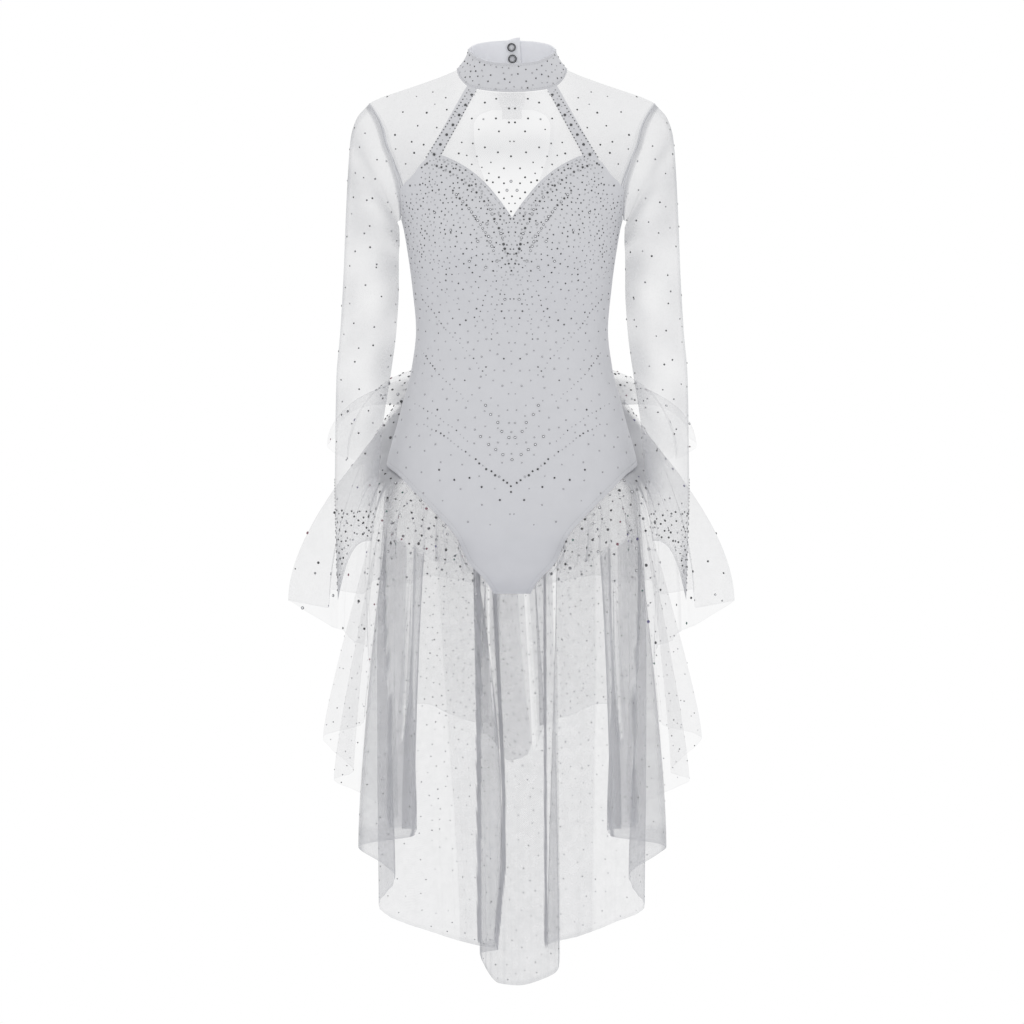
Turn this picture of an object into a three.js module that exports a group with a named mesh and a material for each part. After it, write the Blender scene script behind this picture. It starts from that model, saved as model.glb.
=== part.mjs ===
// Figure skating dress: a halter leotard body, sheer yokes and long sheer sleeves, and a skirt of net tiers
// that starts at the leg line in front and at the waist behind, short in front and long at the back.
// It is filled out and hangs as it does on a wearer.
//
// Millimetres, +Z up, front towards -Y. The origin is midway between the points where the two shoulder
// lines meet the neck. Left and right are as seen from the front.
// turn: degrees round the body, 0 centre front, 90 left side, 180 centre back, 270 right side.
// drop: millimetres down from the origin, and along the curve under the crotch below 640.

import * as THREE from 'three';

// Body widths
const NECK_WIDTH = 143;
const SHOULDER_WIDTH = 370;
const WAIST_WIDTH = 246;
const HIP_WIDTH = 336;

// Armhole, an oval seen from the side
const ARMHOLE_TOP = 44;
const ARMPIT_DROP = 195;
const ARMHOLE_DEPTH = 100;

// Bust shaping of the front
const CUP = { x: 68, drop: 225, rise: 20, spread: 45 };

// Cloth thicknesses and the gaps at seams
const CLOTH = 1.5;
const MESH = 1.0;
const COLLAR_CLOTH = 1.6;
const SEAM_GAP = 0.6;
const TIER_GAP = 0.8;
const SIDE_GAP = 0.25;

// Distance of each layer's outer face from the body surface
const LAYER = {
  yoke: 0,
  bodice: 1.8,
  strap: 2.9,
  peplum: 0.2,
  flounce: -2,
  middle: -3.5,
  long: -5,
  brief: -7.4,
};

// Collar, snaps and the overlap of the back opening
const COLLAR_LIFT = 1.4;
const COLLAR_FRONT_TURN = 95;
const COLLAR_SIDE_GAP = 0.9;
const COLLAR_RAISED_CORNER = 4;
const COLLAR_HOLLOW = 1.5;
const OVERLAP_HALF = 13;
const OVERLAP_STEP = 1.15;
const PLACKET_STEP = 0.7;
const SNAP = { outer: 5.8, inner: 3.4, thick: 1.6, seat: 1, lean: 4.3, sides: 16 };
const SNAP_PLACES = { upper: { x: -0.6, z: 30.5 }, lower: { x: 0.6, z: 15.6 } };

// Degrees from the centre back where the overlap's step starts, and where it is full
const COLLAR_LAP = { start: 30, full: 12 };
const PLACKET_LAP = { start: 24, full: 14 };
const COLLAR_CORNER = { start: 172, full: 190 };

// Keyhole at the back
const KEYHOLE_TOP = 50;
const KEYHOLE_LOBE = 27;
const TONGUE_END = 62;

// Columns of a back yoke half, inwards from the armhole,
// and which of them meet the neck, the lobe and the tongue
const YOKE_BACK_X = [null, -150, -120, -92, -68, -46, -KEYHOLE_LOBE, -OVERLAP_HALF, 0, OVERLAP_HALF];
const YOKE_BACK_AT = { neck: 4, lobe: 6, tongue: 7 };

// How much lower the bodice back's top edge is at the centre than at the armpit
const BACK_TOP_DIP = 19;

// Crotch, and where the narrow gusset starts on the centre line
const CROTCH_DROP = 740;
const GUSSET_DROP = 655;
const GUSSET_COLUMNS = 3;

// Drops between which the brief comes out to the bodice's layer
const BRIEF_RISE = { start: 600, end: 730 };

// Corners that lie closer than this are one corner
const WELD = 0.01;

// Sleeve: its gap from the armhole's edge, a line inside it, and the point over the hand
const SLEEVE_GAP = { shoulder: 0.7, armpit: 3 };
const SLEEVE_AXIS = { x: -190, y: -20 };
const SLEEVE_END = { x: -203.5, z: -612, out: -22, depth: 27, y: -80, point: 77, sharp: 3 };

// Skirt tiers: the drop where the hips end, how soon a tier is clear of them, as a share of its length,
// and how far below each of its points lies the point that its outer side faces away from
const HIPS_END = 670;
const TIER_CLEAR_BY = 1 / 3;
const TIER_FACING_BELOW = 150;

// Widest step between a tier's columns, in degrees, and a smaller one where the skirt seam is steep
const TIER_STEP = 6;
const STEEP_SEAM = { turn: 105, reach: 15, step: 3.5 };

// Columns and rows of each patch of cloth. An ease above 1 sets the rows closer together at the top.
const GRID = {
  bodice: { rows: 13, ease: 1.2 },
  bodiceGusset: { columns: GUSSET_COLUMNS, rows: 5 },
  strap: { rows: 8 },
  yokeFront: { shoulder: 5, rows: 10, ease: 1.3 },
  yokeUpper: { rows: 4 },
  yokeLower: { rows: 14 },
  tongue: { rows: 1 },
  bodiceBack: { columns: 36, middle: 0.65, rows: 5 },
  brief: { columns: 14, rows: 6 },
  briefGusset: { columns: GUSSET_COLUMNS, rows: 4 },
  collarFront: { columns: 20, rows: 4 },
  collarBack: { columns: 10, rows: 4 },
  sleeve: { sides: 18 },
};

const COLOURS = {
  stretch: { color: 0xccccd1, roughness: 0.75, metalness: 0 },
  inside: { color: 0xd8d9dd, roughness: 0.8, metalness: 0 },
  mesh: { color: 0xe2e3e6, roughness: 0.85, metalness: 0 },
  net: { color: 0xd9dade, roughness: 0.9, metalness: 0 },
  snap: { color: 0x9a9ca3, roughness: 0.4, metalness: 0.6 },
};

const RADIANS = Math.PI / 180;

// Rows of numbers as objects with named columns
function table(columns, rows) {
  const names = columns.split(' ');
  return rows.map((row) => Object.fromEntries(names.map((name, i) => [name, row[i]])));
}

// Body surface: height, half width, depth in front and depth behind at each drop
const TORSO = table('drop z half front back', [
  [0, 0, NECK_WIDTH / 2, 12, 46],
  [8, -8, 90, 21, 54],
  [15, -15, 109, 30, 58],
  [22, -22, 129, 40, 62],
  [28, -28, 147, 51, 66],
  [36, -36, 170, 64, 70],
  [44, -44, SHOULDER_WIDTH / 2, 70, 74],
  [60, -60, 190, 78, 80],
  [91, -91, 193, 87, 90],
  [117, -117, 182, 95, 94],
  [150, -150, 162, 103, 96],
  [195, -195, 142, 109, 95],
  [230, -230, 135, 111, 92],
  [286, -286, 127.4, 102, 85],
  [338, -338, WAIST_WIDTH / 2, 92, 78],
  [388, -388, 128.7, 96, 85],
  [428, -428, 139, 101, 92],
  [455, -455, 146, 103, 98],
  [511, -511, 161, 106, 104],
  [560, -560, HIP_WIDTH / 2, 104, 104],
  [600, -600, 165, 98, 96],
  [640, -640, 150, 78, 76],
  [665, -662, 132, 64, 64],
  [690, -674, 126, 44, 44],
  [715, -678.5, 122, 22, 22],
  [CROTCH_DROP, -679, 120, 0, 0],
]);

// Front neck seam, out from the centre
const NECK = table('x drop', [
  [0, 31.5],
  [21, 30.5],
  [42, 27.7],
  [57, 23.4],
  [66, 15],
  [70.5, 6],
  [NECK_WIDTH / 2, 0],
]);

// Top edge of the bodice front, from its armhole end to the centre. Rows 2 to 5 are the strap's root.
const BODICE_TOP_START = 158;
const BODICE_TOP = table('x drop', [
  [-127, 137],
  [-112, 119],
  [-105, 117],
  [-98, 115],
  [-91, 113],
  [-76, 119],
  [-60, 128],
  [-44, 140],
  [-29, 155],
  [-14, 174],
  [0, 194],
]);
const BODICE_TOP_ARMHOLE_STEPS = 3;
const STRAP_ROOT = { first: BODICE_TOP_ARMHOLE_STEPS + 2, end: BODICE_TOP_ARMHOLE_STEPS + 6 };
const STRAP_TOP = { outerX: -58, outerDrop: 24, innerX: -45, innerDrop: 28.2 };

// Leg line of the leotard front, from the side seam to the crotch
const LEG_GUSSET_STEP = 5;
const LEG_LINE = table('step turn drop', [
  [0, 90, 510],
  [1, 64.5, 525],
  [2, 48.5, 548],
  [3, 35.6, 576],
  [4, 25.4, 608],
  [5, 21.8, 638],
  [6, 14.9, 665],
  [7, 11.9, 690],
  [8, 11.3, 715],
  [9, 11.54, CROTCH_DROP],
]);

// Seam that carries the skirt: the leg line in front, rising to the waist behind
const SKIRT_SEAM = table('turn drop', [
  [11.9, 690],
  [14.9, 665],
  [21.8, 638],
  [25.4, 608],
  [35.6, 576],
  [48.5, 548],
  [64.5, 525],
  [90, 510],
  [97, 480],
  [105, 440],
  [120, 398],
  [135, 382],
  [150, 384],
  [165, 402],
  [180, 428],
]);

// Leg line of the brief under the skirt, from the side seam to the crotch. It follows the front's line.
const BRIEF_GUSSET_STEP = 5;
const BRIEF_LEG = table('step turn drop', [
  [0, 90, 516],
  [1, 115.5, 527],
  [2, 131.5, 549],
  [3, 144.4, 576],
  [4, 154.6, 608],
  [5, 158.2, 638],
  [6, 165.1, 665],
  [7, 168.1, 690],
  [8, 168.7, 715],
  [9, 168.46, CROTCH_DROP],
]);

// Keyhole edge, down from its lobe
const KEYHOLE = table('step x drop', [
  [0, -KEYHOLE_LOBE, KEYHOLE_TOP],
  [1, -44, 58],
  [2, -50, 72],
  [3, -48, 100],
  [4, -36, 140],
  [5, -20, 175],
  [6, -3, 200],
  [7, -0.3, 213.4],
]);

// Top edge of the collar's left half
const COLLAR_TOP = table('turn x y z', [
  [0, 0, -56, 6],
  [30, -29, -49, 9],
  [60, -50, -28, 18],
  [90, -57, -2, 26],
  [120, -50, 21, 33],
  [150, -29, 38, 38],
  [180, 0, 43, 40],
]);

// Left sleeve below the armhole: centre, the reach to its outer line, and half its depth
const SLEEVE = table('x z outX outZ depth y', [
  [-175.3, -130.5, -26.5, 67.5, 49, -1],
  [-178, -147, -31.5, 59, 47, -2],
  [-179.5, -176, -33.5, 46, 43, -4],
  [-181.5, -217.5, -34.5, 27.5, 40, -7],
  [-183, -276, -36, 8, 39, -12],
  [-186.5, -338, -36.5, 0, 38, -18],
  [-193, -400, -35, 0, 36, -28],
  [-198, -460, -31, 0, 33, -42],
  [-200.5, -520, -29, 0, 31, -58],
  [-203, -575, -25.7, 0, 28, -74],
]);

// Hems of the skirt tiers, one row for each fold's crest or valley, on the left half and on round the back
const PEPLUM_HEM = table('turn x y z', [
  [106, -228, 40, -476],
  [112, -241, 62, -489],
  [119, -214, 88, -506],
  [126, -216, 118, -500],
  [134, -178, 132, -520],
  [142, -165, 168, -512],
  [150, -122, 172, -532],
  [158, -98, 204, -530],
  [166, -62, 196, -552],
  [174, -28, 222, -560],
  [180, 0, 208, -572],
]);

const FLOUNCE_HEM = table('turn x y z', [
  [14, -34, -68, -675],
  [21, -55, -86, -654],
  [24.5, -64, -98, -648],
  [29, -79, -108, -641],
  [33, -91, -98, -639],
  [37, -103, -118, -638],
  [42, -112, -104, -630],
  [47, -157, -122, -608],
  [53, -150, -92, -628],
  [58, -163, -72, -660],
  [66, -184, -58, -773],
  [73, -188, -44, -750],
  [80, -208, -30, -741],
  [86, -218, -6, -730],
  [92, -234, 22, -724],
  [98, -291, 50, -690],
  [110, -240, 92, -700],
  [118, -236, 124, -676],
  [126, -196, 134, -682],
  [135, -180, 172, -664],
  [144, -136, 168, -668],
  [153, -112, 204, -658],
  [162, -70, 194, -664],
  [171, -38, 224, -672],
  [180, 0, 212, -684],
]);

// The middle tier's side, the same on both halves, and each half's own edge at the back
const MIDDLE_SIDE = table('turn x y z', [
  [41, -129, -92, -983],
  [46, -158, -104, -983],
  [51, -134, -78, -980],
  [57, -156, -66, -975],
  [63, -148, -50, -968],
  [71, -196, -26, -940],
  [78, -231, -4, -923],
  [86, -206, 28, -912],
  [96, -247, 60, -870],
  [108, -196, 92, -852],
  [120, -188, 128, -836],
  [132, -146, 134, -828],
  [144, -114, 162, -826],
  [154, -80, 154, -840],
]);
const MIDDLE_LEFT_BACK = table('turn x y z', [
  [162, -43, 176, -851],
  [167, -31, 186, -850],
  [171, -45, 196, -855],
  [174, -20, 204, -880],
  [177, -4, 206, -901],
  [180, 20, 202, -893],
  [181.5, 26, 198, -878],
]);
const MIDDLE_RIGHT_BACK = table('turn x y z', [
  [183, 34, 198, -876],
  [186, 43, 188, -853],
  [189, 36, 180, -855],
  [193, 45, 170, -853],
  [199, 60, 176, -846],
]);

// The long tier's front and side, the same on both halves, and its tail
const LONG_SIDE = table('turn x y z', [
  [41, -127, -58, -985],
  [46, -142, -58, -985],
  [51, -124, -40, -987],
  [58, -128, -22, -995],
  [70, -200, 4, -1011],
  [77, -152, 26, -1048],
]);
const LONG_TAIL = table('turn x y z', [
  [88, -174, 66, -1086],
  [118, -96, 128, -1127],
  [140, -46, 150, -1142],
  [152, -18, 160, -1148],
  [158, -42, 176, -1154],
  [164, -34, 184, -1174],
  [171, -17, 192, -1193],
  [180, 9, 198, -1196],
  [190, 42, 194, -1187],
  [197, 60, 186, -1175],
  [202, 63, 176, -1156],
  [207, 46, 168, -1144],
  [222, 88, 148, -1130],
  [242, 130, 118, -1113],
  [270, 173, 66, -1087],
]);

// How each tier leaves its seam: out and down by these shares of its length, then how straight it hangs,
// and how far it stays clear of the hips
const TIERS = {
  peplum: { layer: LAYER.peplum, out: 0.6, down: 0.05, hang: 0.3, rows: 4, perFold: 2, clear: 18 },
  flounce: { layer: LAYER.flounce, out: 0.24, down: 0.14, hang: 0.3, rows: 4, perFold: 2, clear: 14 },
  middle: { layer: LAYER.middle, out: 0.05, down: 0.2, hang: 0.12, rows: 6, perFold: 2, clear: 10 },
  long: { layer: LAYER.long, out: 0.05, down: 0.2, hang: 0.2, rows: 7, perFold: 2, clear: 3 },
};

const mix = THREE.MathUtils.lerp;

// Reads a column of a table between its rows, smoothly and without overshoot
function read(rows, key, column, at) {
  const last = rows.length - 1;
  if (at <= rows[0][key]) return rows[0][column];
  if (at >= rows[last][key]) return rows[last][column];
  const i = rows.findIndex((row) => row[key] > at) - 1;
  const slope = (k) => (rows[k + 1][column] - rows[k][column]) / (rows[k + 1][key] - rows[k][key]);
  const tangent = (k) => {
    if (k === 0) return slope(0);
    if (k === last) return slope(last - 1);
    const product = slope(k - 1) * slope(k);
    return product > 0 ? (2 * product) / (slope(k - 1) + slope(k)) : 0;
  };
  const width = rows[i + 1][key] - rows[i][key];
  const t = (at - rows[i][key]) / width;
  const start = (1 + 2 * t) * (1 - t) ** 2 * rows[i][column] + t * (1 - t) ** 2 * width * tangent(i);
  const end = (3 - 2 * t) * t ** 2 * rows[i + 1][column] - (1 - t) * t ** 2 * width * tangent(i + 1);
  return start + end;
}

const mirrorRows = (rows) =>
  rows.map((row) => ({ ...row, turn: 360 - row.turn, x: -row.x })).reverse();

// The body surface
function bodyPoint(turn, drop) {
  const angle = turn * RADIANS;
  const half = read(TORSO, 'drop', 'half', drop);
  const inFront = Math.cos(angle) >= 0;
  const depth = read(TORSO, 'drop', inFront ? 'front' : 'back', drop);
  const x = -half * Math.sin(angle);
  let y = -depth * Math.cos(angle);
  if (inFront) {
    const away = Math.hypot(Math.abs(x) - CUP.x, drop - CUP.drop) / CUP.spread;
    y -= CUP.rise * Math.exp(-away * away) * Math.cos(angle);
  }
  return new THREE.Vector3(x, y, read(TORSO, 'drop', 'z', drop));
}

function bodyNormal(turn, drop) {
  const step = 0.5;
  const across = bodyPoint(turn + step, drop).sub(bodyPoint(turn - step, drop));
  const low = Math.min(drop + step, CROTCH_DROP);
  const high = Math.max(drop - step, 0);
  const down = bodyPoint(turn, low).sub(bodyPoint(turn, high));
  return across.cross(down).normalize();
}

// A point of a layer. Front pieces and back pieces are kept apart at the side and shoulder seams.
const FRONT = -1;
const BEHIND = 1;

function onBody(turn, drop, offset, side) {
  const point = bodyPoint(turn, drop).addScaledVector(bodyNormal(turn, drop), offset);
  point.y += side * SIDE_GAP;
  return point;
}

// Places on the body as a turn and a drop
function atX(x, drop, behind = false) {
  const angle = Math.asin(-x / read(TORSO, 'drop', 'half', drop)) / RADIANS;
  return { turn: behind ? 180 - angle : angle, drop };
}

function neckAt(turn) {
  const x = (NECK_WIDTH / 2) * Math.sin(turn * RADIANS);
  if (Math.cos(turn * RADIANS) <= 0) return { turn, drop: 0 };
  return atX(-x, read(NECK, 'x', 'drop', Math.abs(x)));
}

// The left armhole: clock is 0 at the shoulder and 180 at the armpit
function armholeAt(clock, behind) {
  const middle = (ARMHOLE_TOP + ARMPIT_DROP) / 2;
  const drop = middle - (middle - ARMHOLE_TOP) * Math.cos(clock * RADIANS);
  const depth = read(TORSO, 'drop', behind ? 'back' : 'front', drop);
  const y = (ARMHOLE_DEPTH / 2) * Math.sin(clock * RADIANS);
  const lean = Math.asin(y / depth) / RADIANS;
  return { turn: behind ? 90 + lean : 90 - lean, drop };
}

function armholeClock(drop) {
  const middle = (ARMHOLE_TOP + ARMPIT_DROP) / 2;
  return Math.acos((middle - drop) / (middle - ARMHOLE_TOP)) / RADIANS;
}

function seamDrop(turn) {
  return read(SKIRT_SEAM, 'turn', 'drop', turn > 180 ? 360 - turn : turn);
}

// Edges of patches, from 0 to 1
const line = (from, to) => (t) => ({ turn: mix(from.turn, to.turn, t), drop: mix(from.drop, to.drop, t) });

function polyline(points) {
  return (t) => {
    const at = Math.min(t * (points.length - 1), points.length - 1 - 1e-9);
    const i = Math.floor(at);
    return line(points[i], points[i + 1])(at - i);
  };
}

// Fills the space between four edges
function patch(top, bottom, left, right) {
  const inside = (u, v, key) => {
    const across = mix(top(u)[key], bottom(u)[key], v);
    const down = mix(left(v)[key], right(v)[key], u);
    const high = mix(top(0)[key], top(1)[key], u);
    const low = mix(bottom(0)[key], bottom(1)[key], u);
    return across + down - mix(high, low, v);
  };
  return (u, v) => ({ turn: inside(u, v, 'turn'), drop: inside(u, v, 'drop') });
}

// A closed wall of cloth, gathered from quads that share their corners
class Wall {
  constructor() {
    this.outer = [];
    this.inner = [];
    this.faces = [];
    this.index = new Map();
  }

  vertex(outer, inner) {
    const key = outer.toArray().map((value) => Math.round(value / WELD)).join();
    if (!this.index.has(key)) {
      this.index.set(key, this.outer.length);
      this.outer.push(outer);
      this.inner.push(inner);
    }
    return this.index.get(key);
  }

  // One triangle, and how far it faces the wall's outer side
  triangle(a, b, c) {
    const across = this.outer[b].clone().sub(this.outer[a]);
    const normal = across.cross(this.outer[c].clone().sub(this.outer[a]));
    const out = this.outer[a].clone().sub(this.inner[a]);
    out.add(this.outer[b]).sub(this.inner[b]).add(this.outer[c]).sub(this.inner[c]);
    return { corners: [a, b, c], facing: normal.dot(out) };
  }

  grid(columns, rows, place) {
    const ids = [];
    for (let i = 0; i <= columns; i++) {
      ids.push([]);
      for (let j = 0; j <= rows; j++) ids[i].push(this.vertex(...place(i, j)));
    }
    const triangles = [];
    for (let i = 0; i < columns; i++) {
      for (let j = 0; j < rows; j++) {
        const corners = [ids[i][j], ids[i + 1][j], ids[i + 1][j + 1], ids[i][j + 1]];
        const ring = corners.filter((corner, k) => corner !== corners[(k + 1) % 4]);
        for (let k = 2; k < ring.length; k++) {
          triangles.push(this.triangle(ring[0], ring[k - 1], ring[k]));
        }
      }
    }
    const facing = triangles.reduce((sum, triangle) => sum + triangle.facing, 0);
    for (const { corners: [a, b, c] } of triangles) {
      this.faces.push(facing > 0 ? [a, b, c] : [a, c, b]);
    }
    return this;
  }

  geometry() {
    const count = this.outer.length;
    const triangles = [];
    const used = new Set(this.faces.flatMap(([a, b, c]) => [`${a} ${b}`, `${b} ${c}`, `${c} ${a}`]));
    for (const [a, b, c] of this.faces) {
      triangles.push(a, b, c, a + count, c + count, b + count);
      for (const [from, to] of [[a, b], [b, c], [c, a]]) {
        if (used.has(`${to} ${from}`)) continue;
        triangles.push(to, from, from + count, to, from + count, to + count);
      }
    }
    const positions = [...this.outer, ...this.inner].flatMap((point) => point.toArray());
    const geometry = new THREE.BufferGeometry();
    geometry.setAttribute('position', new THREE.Float32BufferAttribute(positions, 3));
    geometry.setIndex(triangles);
    geometry.computeVertexNormals();
    return geometry;
  }
}

// Adds a patch of a layer that lies on the body. The offset is a number or a function of u, v, turn and drop.
function layerPatch(wall, shape, { columns, rows, offset, thickness, side, ease = 1 }) {
  return wall.grid(columns, rows, (i, j) => {
    const { turn, drop } = shape(i / columns, (j / rows) ** ease);
    const out = typeof offset === 'number' ? offset : offset(i / columns, j / rows, turn, drop);
    return [onBody(turn, drop, out, side), onBody(turn, drop, out - thickness, side)];
  });
}

// Adds a free sheet whose points are given, its outer side away from the given axis point
function sheetWall(points, thickness, away, closed = false) {
  const columns = points.length - 1;
  const rows = points[0].length - 1;
  const at = (i, j) => {
    const wrapped = closed ? (i + columns) % columns : THREE.MathUtils.clamp(i, 0, columns);
    return points[wrapped][THREE.MathUtils.clamp(j, 0, rows)];
  };
  const normal = (i, j) => {
    const across = at(i + 1, j).clone().sub(at(i - 1, j));
    return across.cross(at(i, j + 1).clone().sub(at(i, j - 1))).normalize();
  };
  let facing = 0;
  points.forEach((column, i) => column.forEach((point, j) => {
    facing += normal(i, j).dot(point.clone().sub(away(point)));
  }));
  const inward = facing > 0 ? -thickness : thickness;
  return new Wall().grid(columns, rows, (i, j) => {
    const outer = at(i, j);
    return [outer, outer.clone().addScaledVector(normal(i, j), inward)];
  });
}

function makeMesh(name, geometry, look) {
  const mesh = new THREE.Mesh(geometry, new THREE.MeshStandardMaterial(COLOURS[look]));
  mesh.name = name;
  return mesh;
}

const same = (point) => point;
const flip = ({ turn, drop }) => ({ turn: -turn, drop });
const flipBehind = ({ turn, drop }) => ({ turn: 360 - turn, drop });
const mirrored = (shape, mirror) => (u, v) => mirror(shape(u, v));

// Bodice front: its top edge runs from the armpit up the armhole and on to the centre
function bodiceTopPoints() {
  const clock = armholeClock(BODICE_TOP_START);
  const armhole = [];
  for (let i = 0; i <= BODICE_TOP_ARMHOLE_STEPS; i++) {
    armhole.push(armholeAt(mix(180, clock, i / BODICE_TOP_ARMHOLE_STEPS), false));
  }
  return [...armhole, ...BODICE_TOP.map(({ x, drop }) => atX(x, drop))];
}

// The seat's or front's lower part: the leg line on one side, the centre line on the other
function legShapes(rows, centre, gussetStep, top, columns) {
  const leg = (from, to) => (t) => {
    const step = mix(from, to, t);
    return { turn: read(rows, 'step', 'turn', step), drop: read(rows, 'step', 'drop', step) };
  };
  const last = rows.length - 1;
  const middle = { turn: centre, drop: GUSSET_DROP };
  const crotch = { turn: centre, drop: CROTCH_DROP };
  const corner = leg(0, last)(gussetStep / last);
  const share = (columns - GUSSET_COLUMNS) / columns;
  const across = line(corner, middle);
  const low = (u) => (u < share ? leg(0, gussetStep)(u / share) : across((u - share) / (1 - share)));
  const seam = line(leg(0, last)(1), crotch);
  return {
    body: patch(top, low, line(top(0), low(0)), line(top(1), middle)),
    gusset: patch(across, seam, leg(gussetStep, last), line(middle, crotch)),
  };
}

function bodiceFront() {
  const top = bodiceTopPoints();
  const columns = top.length - 1;
  const { body, gusset } = legShapes(LEG_LINE, 0, LEG_GUSSET_STEP, polyline(top), columns);
  const root = top.slice(STRAP_ROOT.first, STRAP_ROOT.end);
  const rootX = root.map(({ turn, drop }) => bodyPoint(turn, drop).x);
  const strap = (u, v) => {
    const at = Math.min(u * (root.length - 1), root.length - 1 - 1e-9);
    const i = Math.floor(at);
    const lowX = mix(rootX[i], rootX[i + 1], at - i);
    const lowDrop = mix(root[i].drop, root[i + 1].drop, at - i);
    if (v === 1) return line(root[i], root[i + 1])(at - i);
    const highX = mix(STRAP_TOP.outerX, STRAP_TOP.innerX, u);
    const highDrop = mix(STRAP_TOP.outerDrop, STRAP_TOP.innerDrop, u);
    return atX(mix(highX, lowX, v), mix(highDrop, lowDrop, v));
  };
  const wall = new Wall();
  const raised = (u, v) => (v === 1 ? LAYER.bodice : LAYER.strap);
  const cloth = { offset: LAYER.bodice, thickness: CLOTH, side: FRONT };
  for (const mirror of [same, flip]) {
    layerPatch(wall, mirrored(body, mirror), { ...cloth, ...GRID.bodice, columns });
    layerPatch(wall, mirrored(gusset, mirror), { ...cloth, ...GRID.bodiceGusset });
    const strapGrid = { ...GRID.strap, columns: root.length - 1, offset: raised };
    layerPatch(wall, mirrored(strap, mirror), { ...cloth, ...strapGrid });
  }
  return makeMesh('bodice_front', wall.geometry(), 'stretch');
}

// Yoke front: between the shoulder lines, the neck, the armholes and the bodice's top edge
function yokeFront() {
  const bottom = bodiceTopPoints().slice(BODICE_TOP_ARMHOLE_STEPS);
  const columns = bottom.length - 1;
  const { shoulder, rows, ease } = GRID.yokeFront;
  const top = [];
  for (let i = 0; i <= columns; i++) {
    const along = i / shoulder;
    const round = (i - shoulder) / (columns - shoulder);
    top.push(along < 1 ? { turn: 90, drop: mix(ARMHOLE_TOP, 0, along) } : neckAt(mix(90, 0, round)));
  }
  const low = bottom.map(({ turn, drop }) => ({ turn, drop: drop - SEAM_GAP }));
  const clock = armholeClock(low[0].drop);
  low[0] = armholeAt(clock, false);
  const side = (v) => armholeAt(mix(0, clock, v), false);
  const shape = patch(polyline(top), polyline(low), side, line(top[columns], low[columns]));
  const wall = new Wall();
  const cloth = { columns, rows, ease, offset: LAYER.yoke, thickness: MESH, side: FRONT };
  for (const mirror of [same, flip]) layerPatch(wall, mirrored(shape, mirror), cloth);
  return makeMesh('yoke_front', wall.geometry(), 'mesh');
}

// How far a turn is into the overlap at the centre back, from 0 to 1
function lapShare(turn, { start, full }) {
  return THREE.MathUtils.smoothstep(start - Math.abs(turn - 180), 0, start - full);
}

// Back yoke, one half: above the keyhole, beside it, and the placket's tongue between its lobes
function yokeBack(name, mirror, step) {
  const { neck, lobe, tongue: inner } = YOKE_BACK_AT;
  const last = YOKE_BACK_X.length - 1;
  const clock = armholeClock(KEYHOLE_TOP);
  const neckX = (i) => mix(-NECK_WIDTH / 2, -KEYHOLE_LOBE, (i - neck) / (lobe - neck));
  const top = YOKE_BACK_X.map((x, i) => {
    if (i <= neck) return { turn: 90, drop: mix(ARMHOLE_TOP, 0, i / neck) };
    return atX(i < lobe ? neckX(i) : x, 0, true);
  });
  const middle = YOKE_BACK_X.map((x) => {
    return x === null ? armholeAt(clock, true) : atX(x, KEYHOLE_TOP, true);
  });
  const armholeHigh = (v) => armholeAt(mix(0, clock, v), true);
  const upper = patch(polyline(top), polyline(middle), armholeHigh, line(top[last], middle[last]));

  const bottomSide = { turn: 90, drop: ARMPIT_DROP - SEAM_GAP };
  const armpitClock = armholeClock(bottomSide.drop);
  const armholeLow = (v) => armholeAt(mix(clock, armpitClock, v), true);
  const keyhole = (v) => {
    const at = v * (KEYHOLE.length - 1);
    return atX(read(KEYHOLE, 'step', 'x', at), read(KEYHOLE, 'step', 'drop', at), true);
  };
  const lower = patch(
    polyline(middle.slice(0, lobe + 1)),
    line(armholeLow(1), keyhole(1)),
    armholeLow,
    keyhole,
  );
  const tongueTop = middle.slice(inner);
  const tongueLow = YOKE_BACK_X.slice(inner).map((x) => atX(x, TONGUE_END, true));
  const tongue = patch(
    polyline(tongueTop),
    polyline(tongueLow),
    line(tongueTop[0], tongueLow[0]),
    line(tongueTop.at(-1), tongueLow.at(-1)),
  );
  const offset = (u, v, turn) => LAYER.yoke + step * lapShare(turn, PLACKET_LAP);
  const wall = new Wall();
  const cloth = { offset, thickness: MESH, side: BEHIND };
  layerPatch(wall, mirrored(upper, mirror), { ...cloth, ...GRID.yokeUpper, columns: last });
  layerPatch(wall, mirrored(lower, mirror), { ...cloth, ...GRID.yokeLower, columns: lobe });
  layerPatch(wall, mirrored(tongue, mirror), { ...cloth, ...GRID.tongue, columns: last - inner });
  return makeMesh(name, wall.geometry(), 'mesh');
}

// Bodice back: from under the keyhole down to the skirt seam
// Its columns are closer together at the sides: the middle half of them takes the share that the grid names.
function bodiceBack() {
  const { columns, middle, rows } = GRID.bodiceBack;
  const shape = (u, v) => {
    const half = Math.abs(2 * u - 1);
    const share = half < 0.5 ? 2 * half * middle : mix(middle, 1, 2 * half - 1);
    const turn = 180 + Math.sign(u - 0.5) * 90 * share;
    const top = ARMPIT_DROP + BACK_TOP_DIP * (1 - share);
    return { turn, drop: mix(top, seamDrop(turn), v) };
  };
  const cloth = { columns, rows, offset: LAYER.bodice, thickness: CLOTH, side: BEHIND };
  return makeMesh('bodice_back', layerPatch(new Wall(), shape, cloth).geometry(), 'stretch');
}

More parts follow.
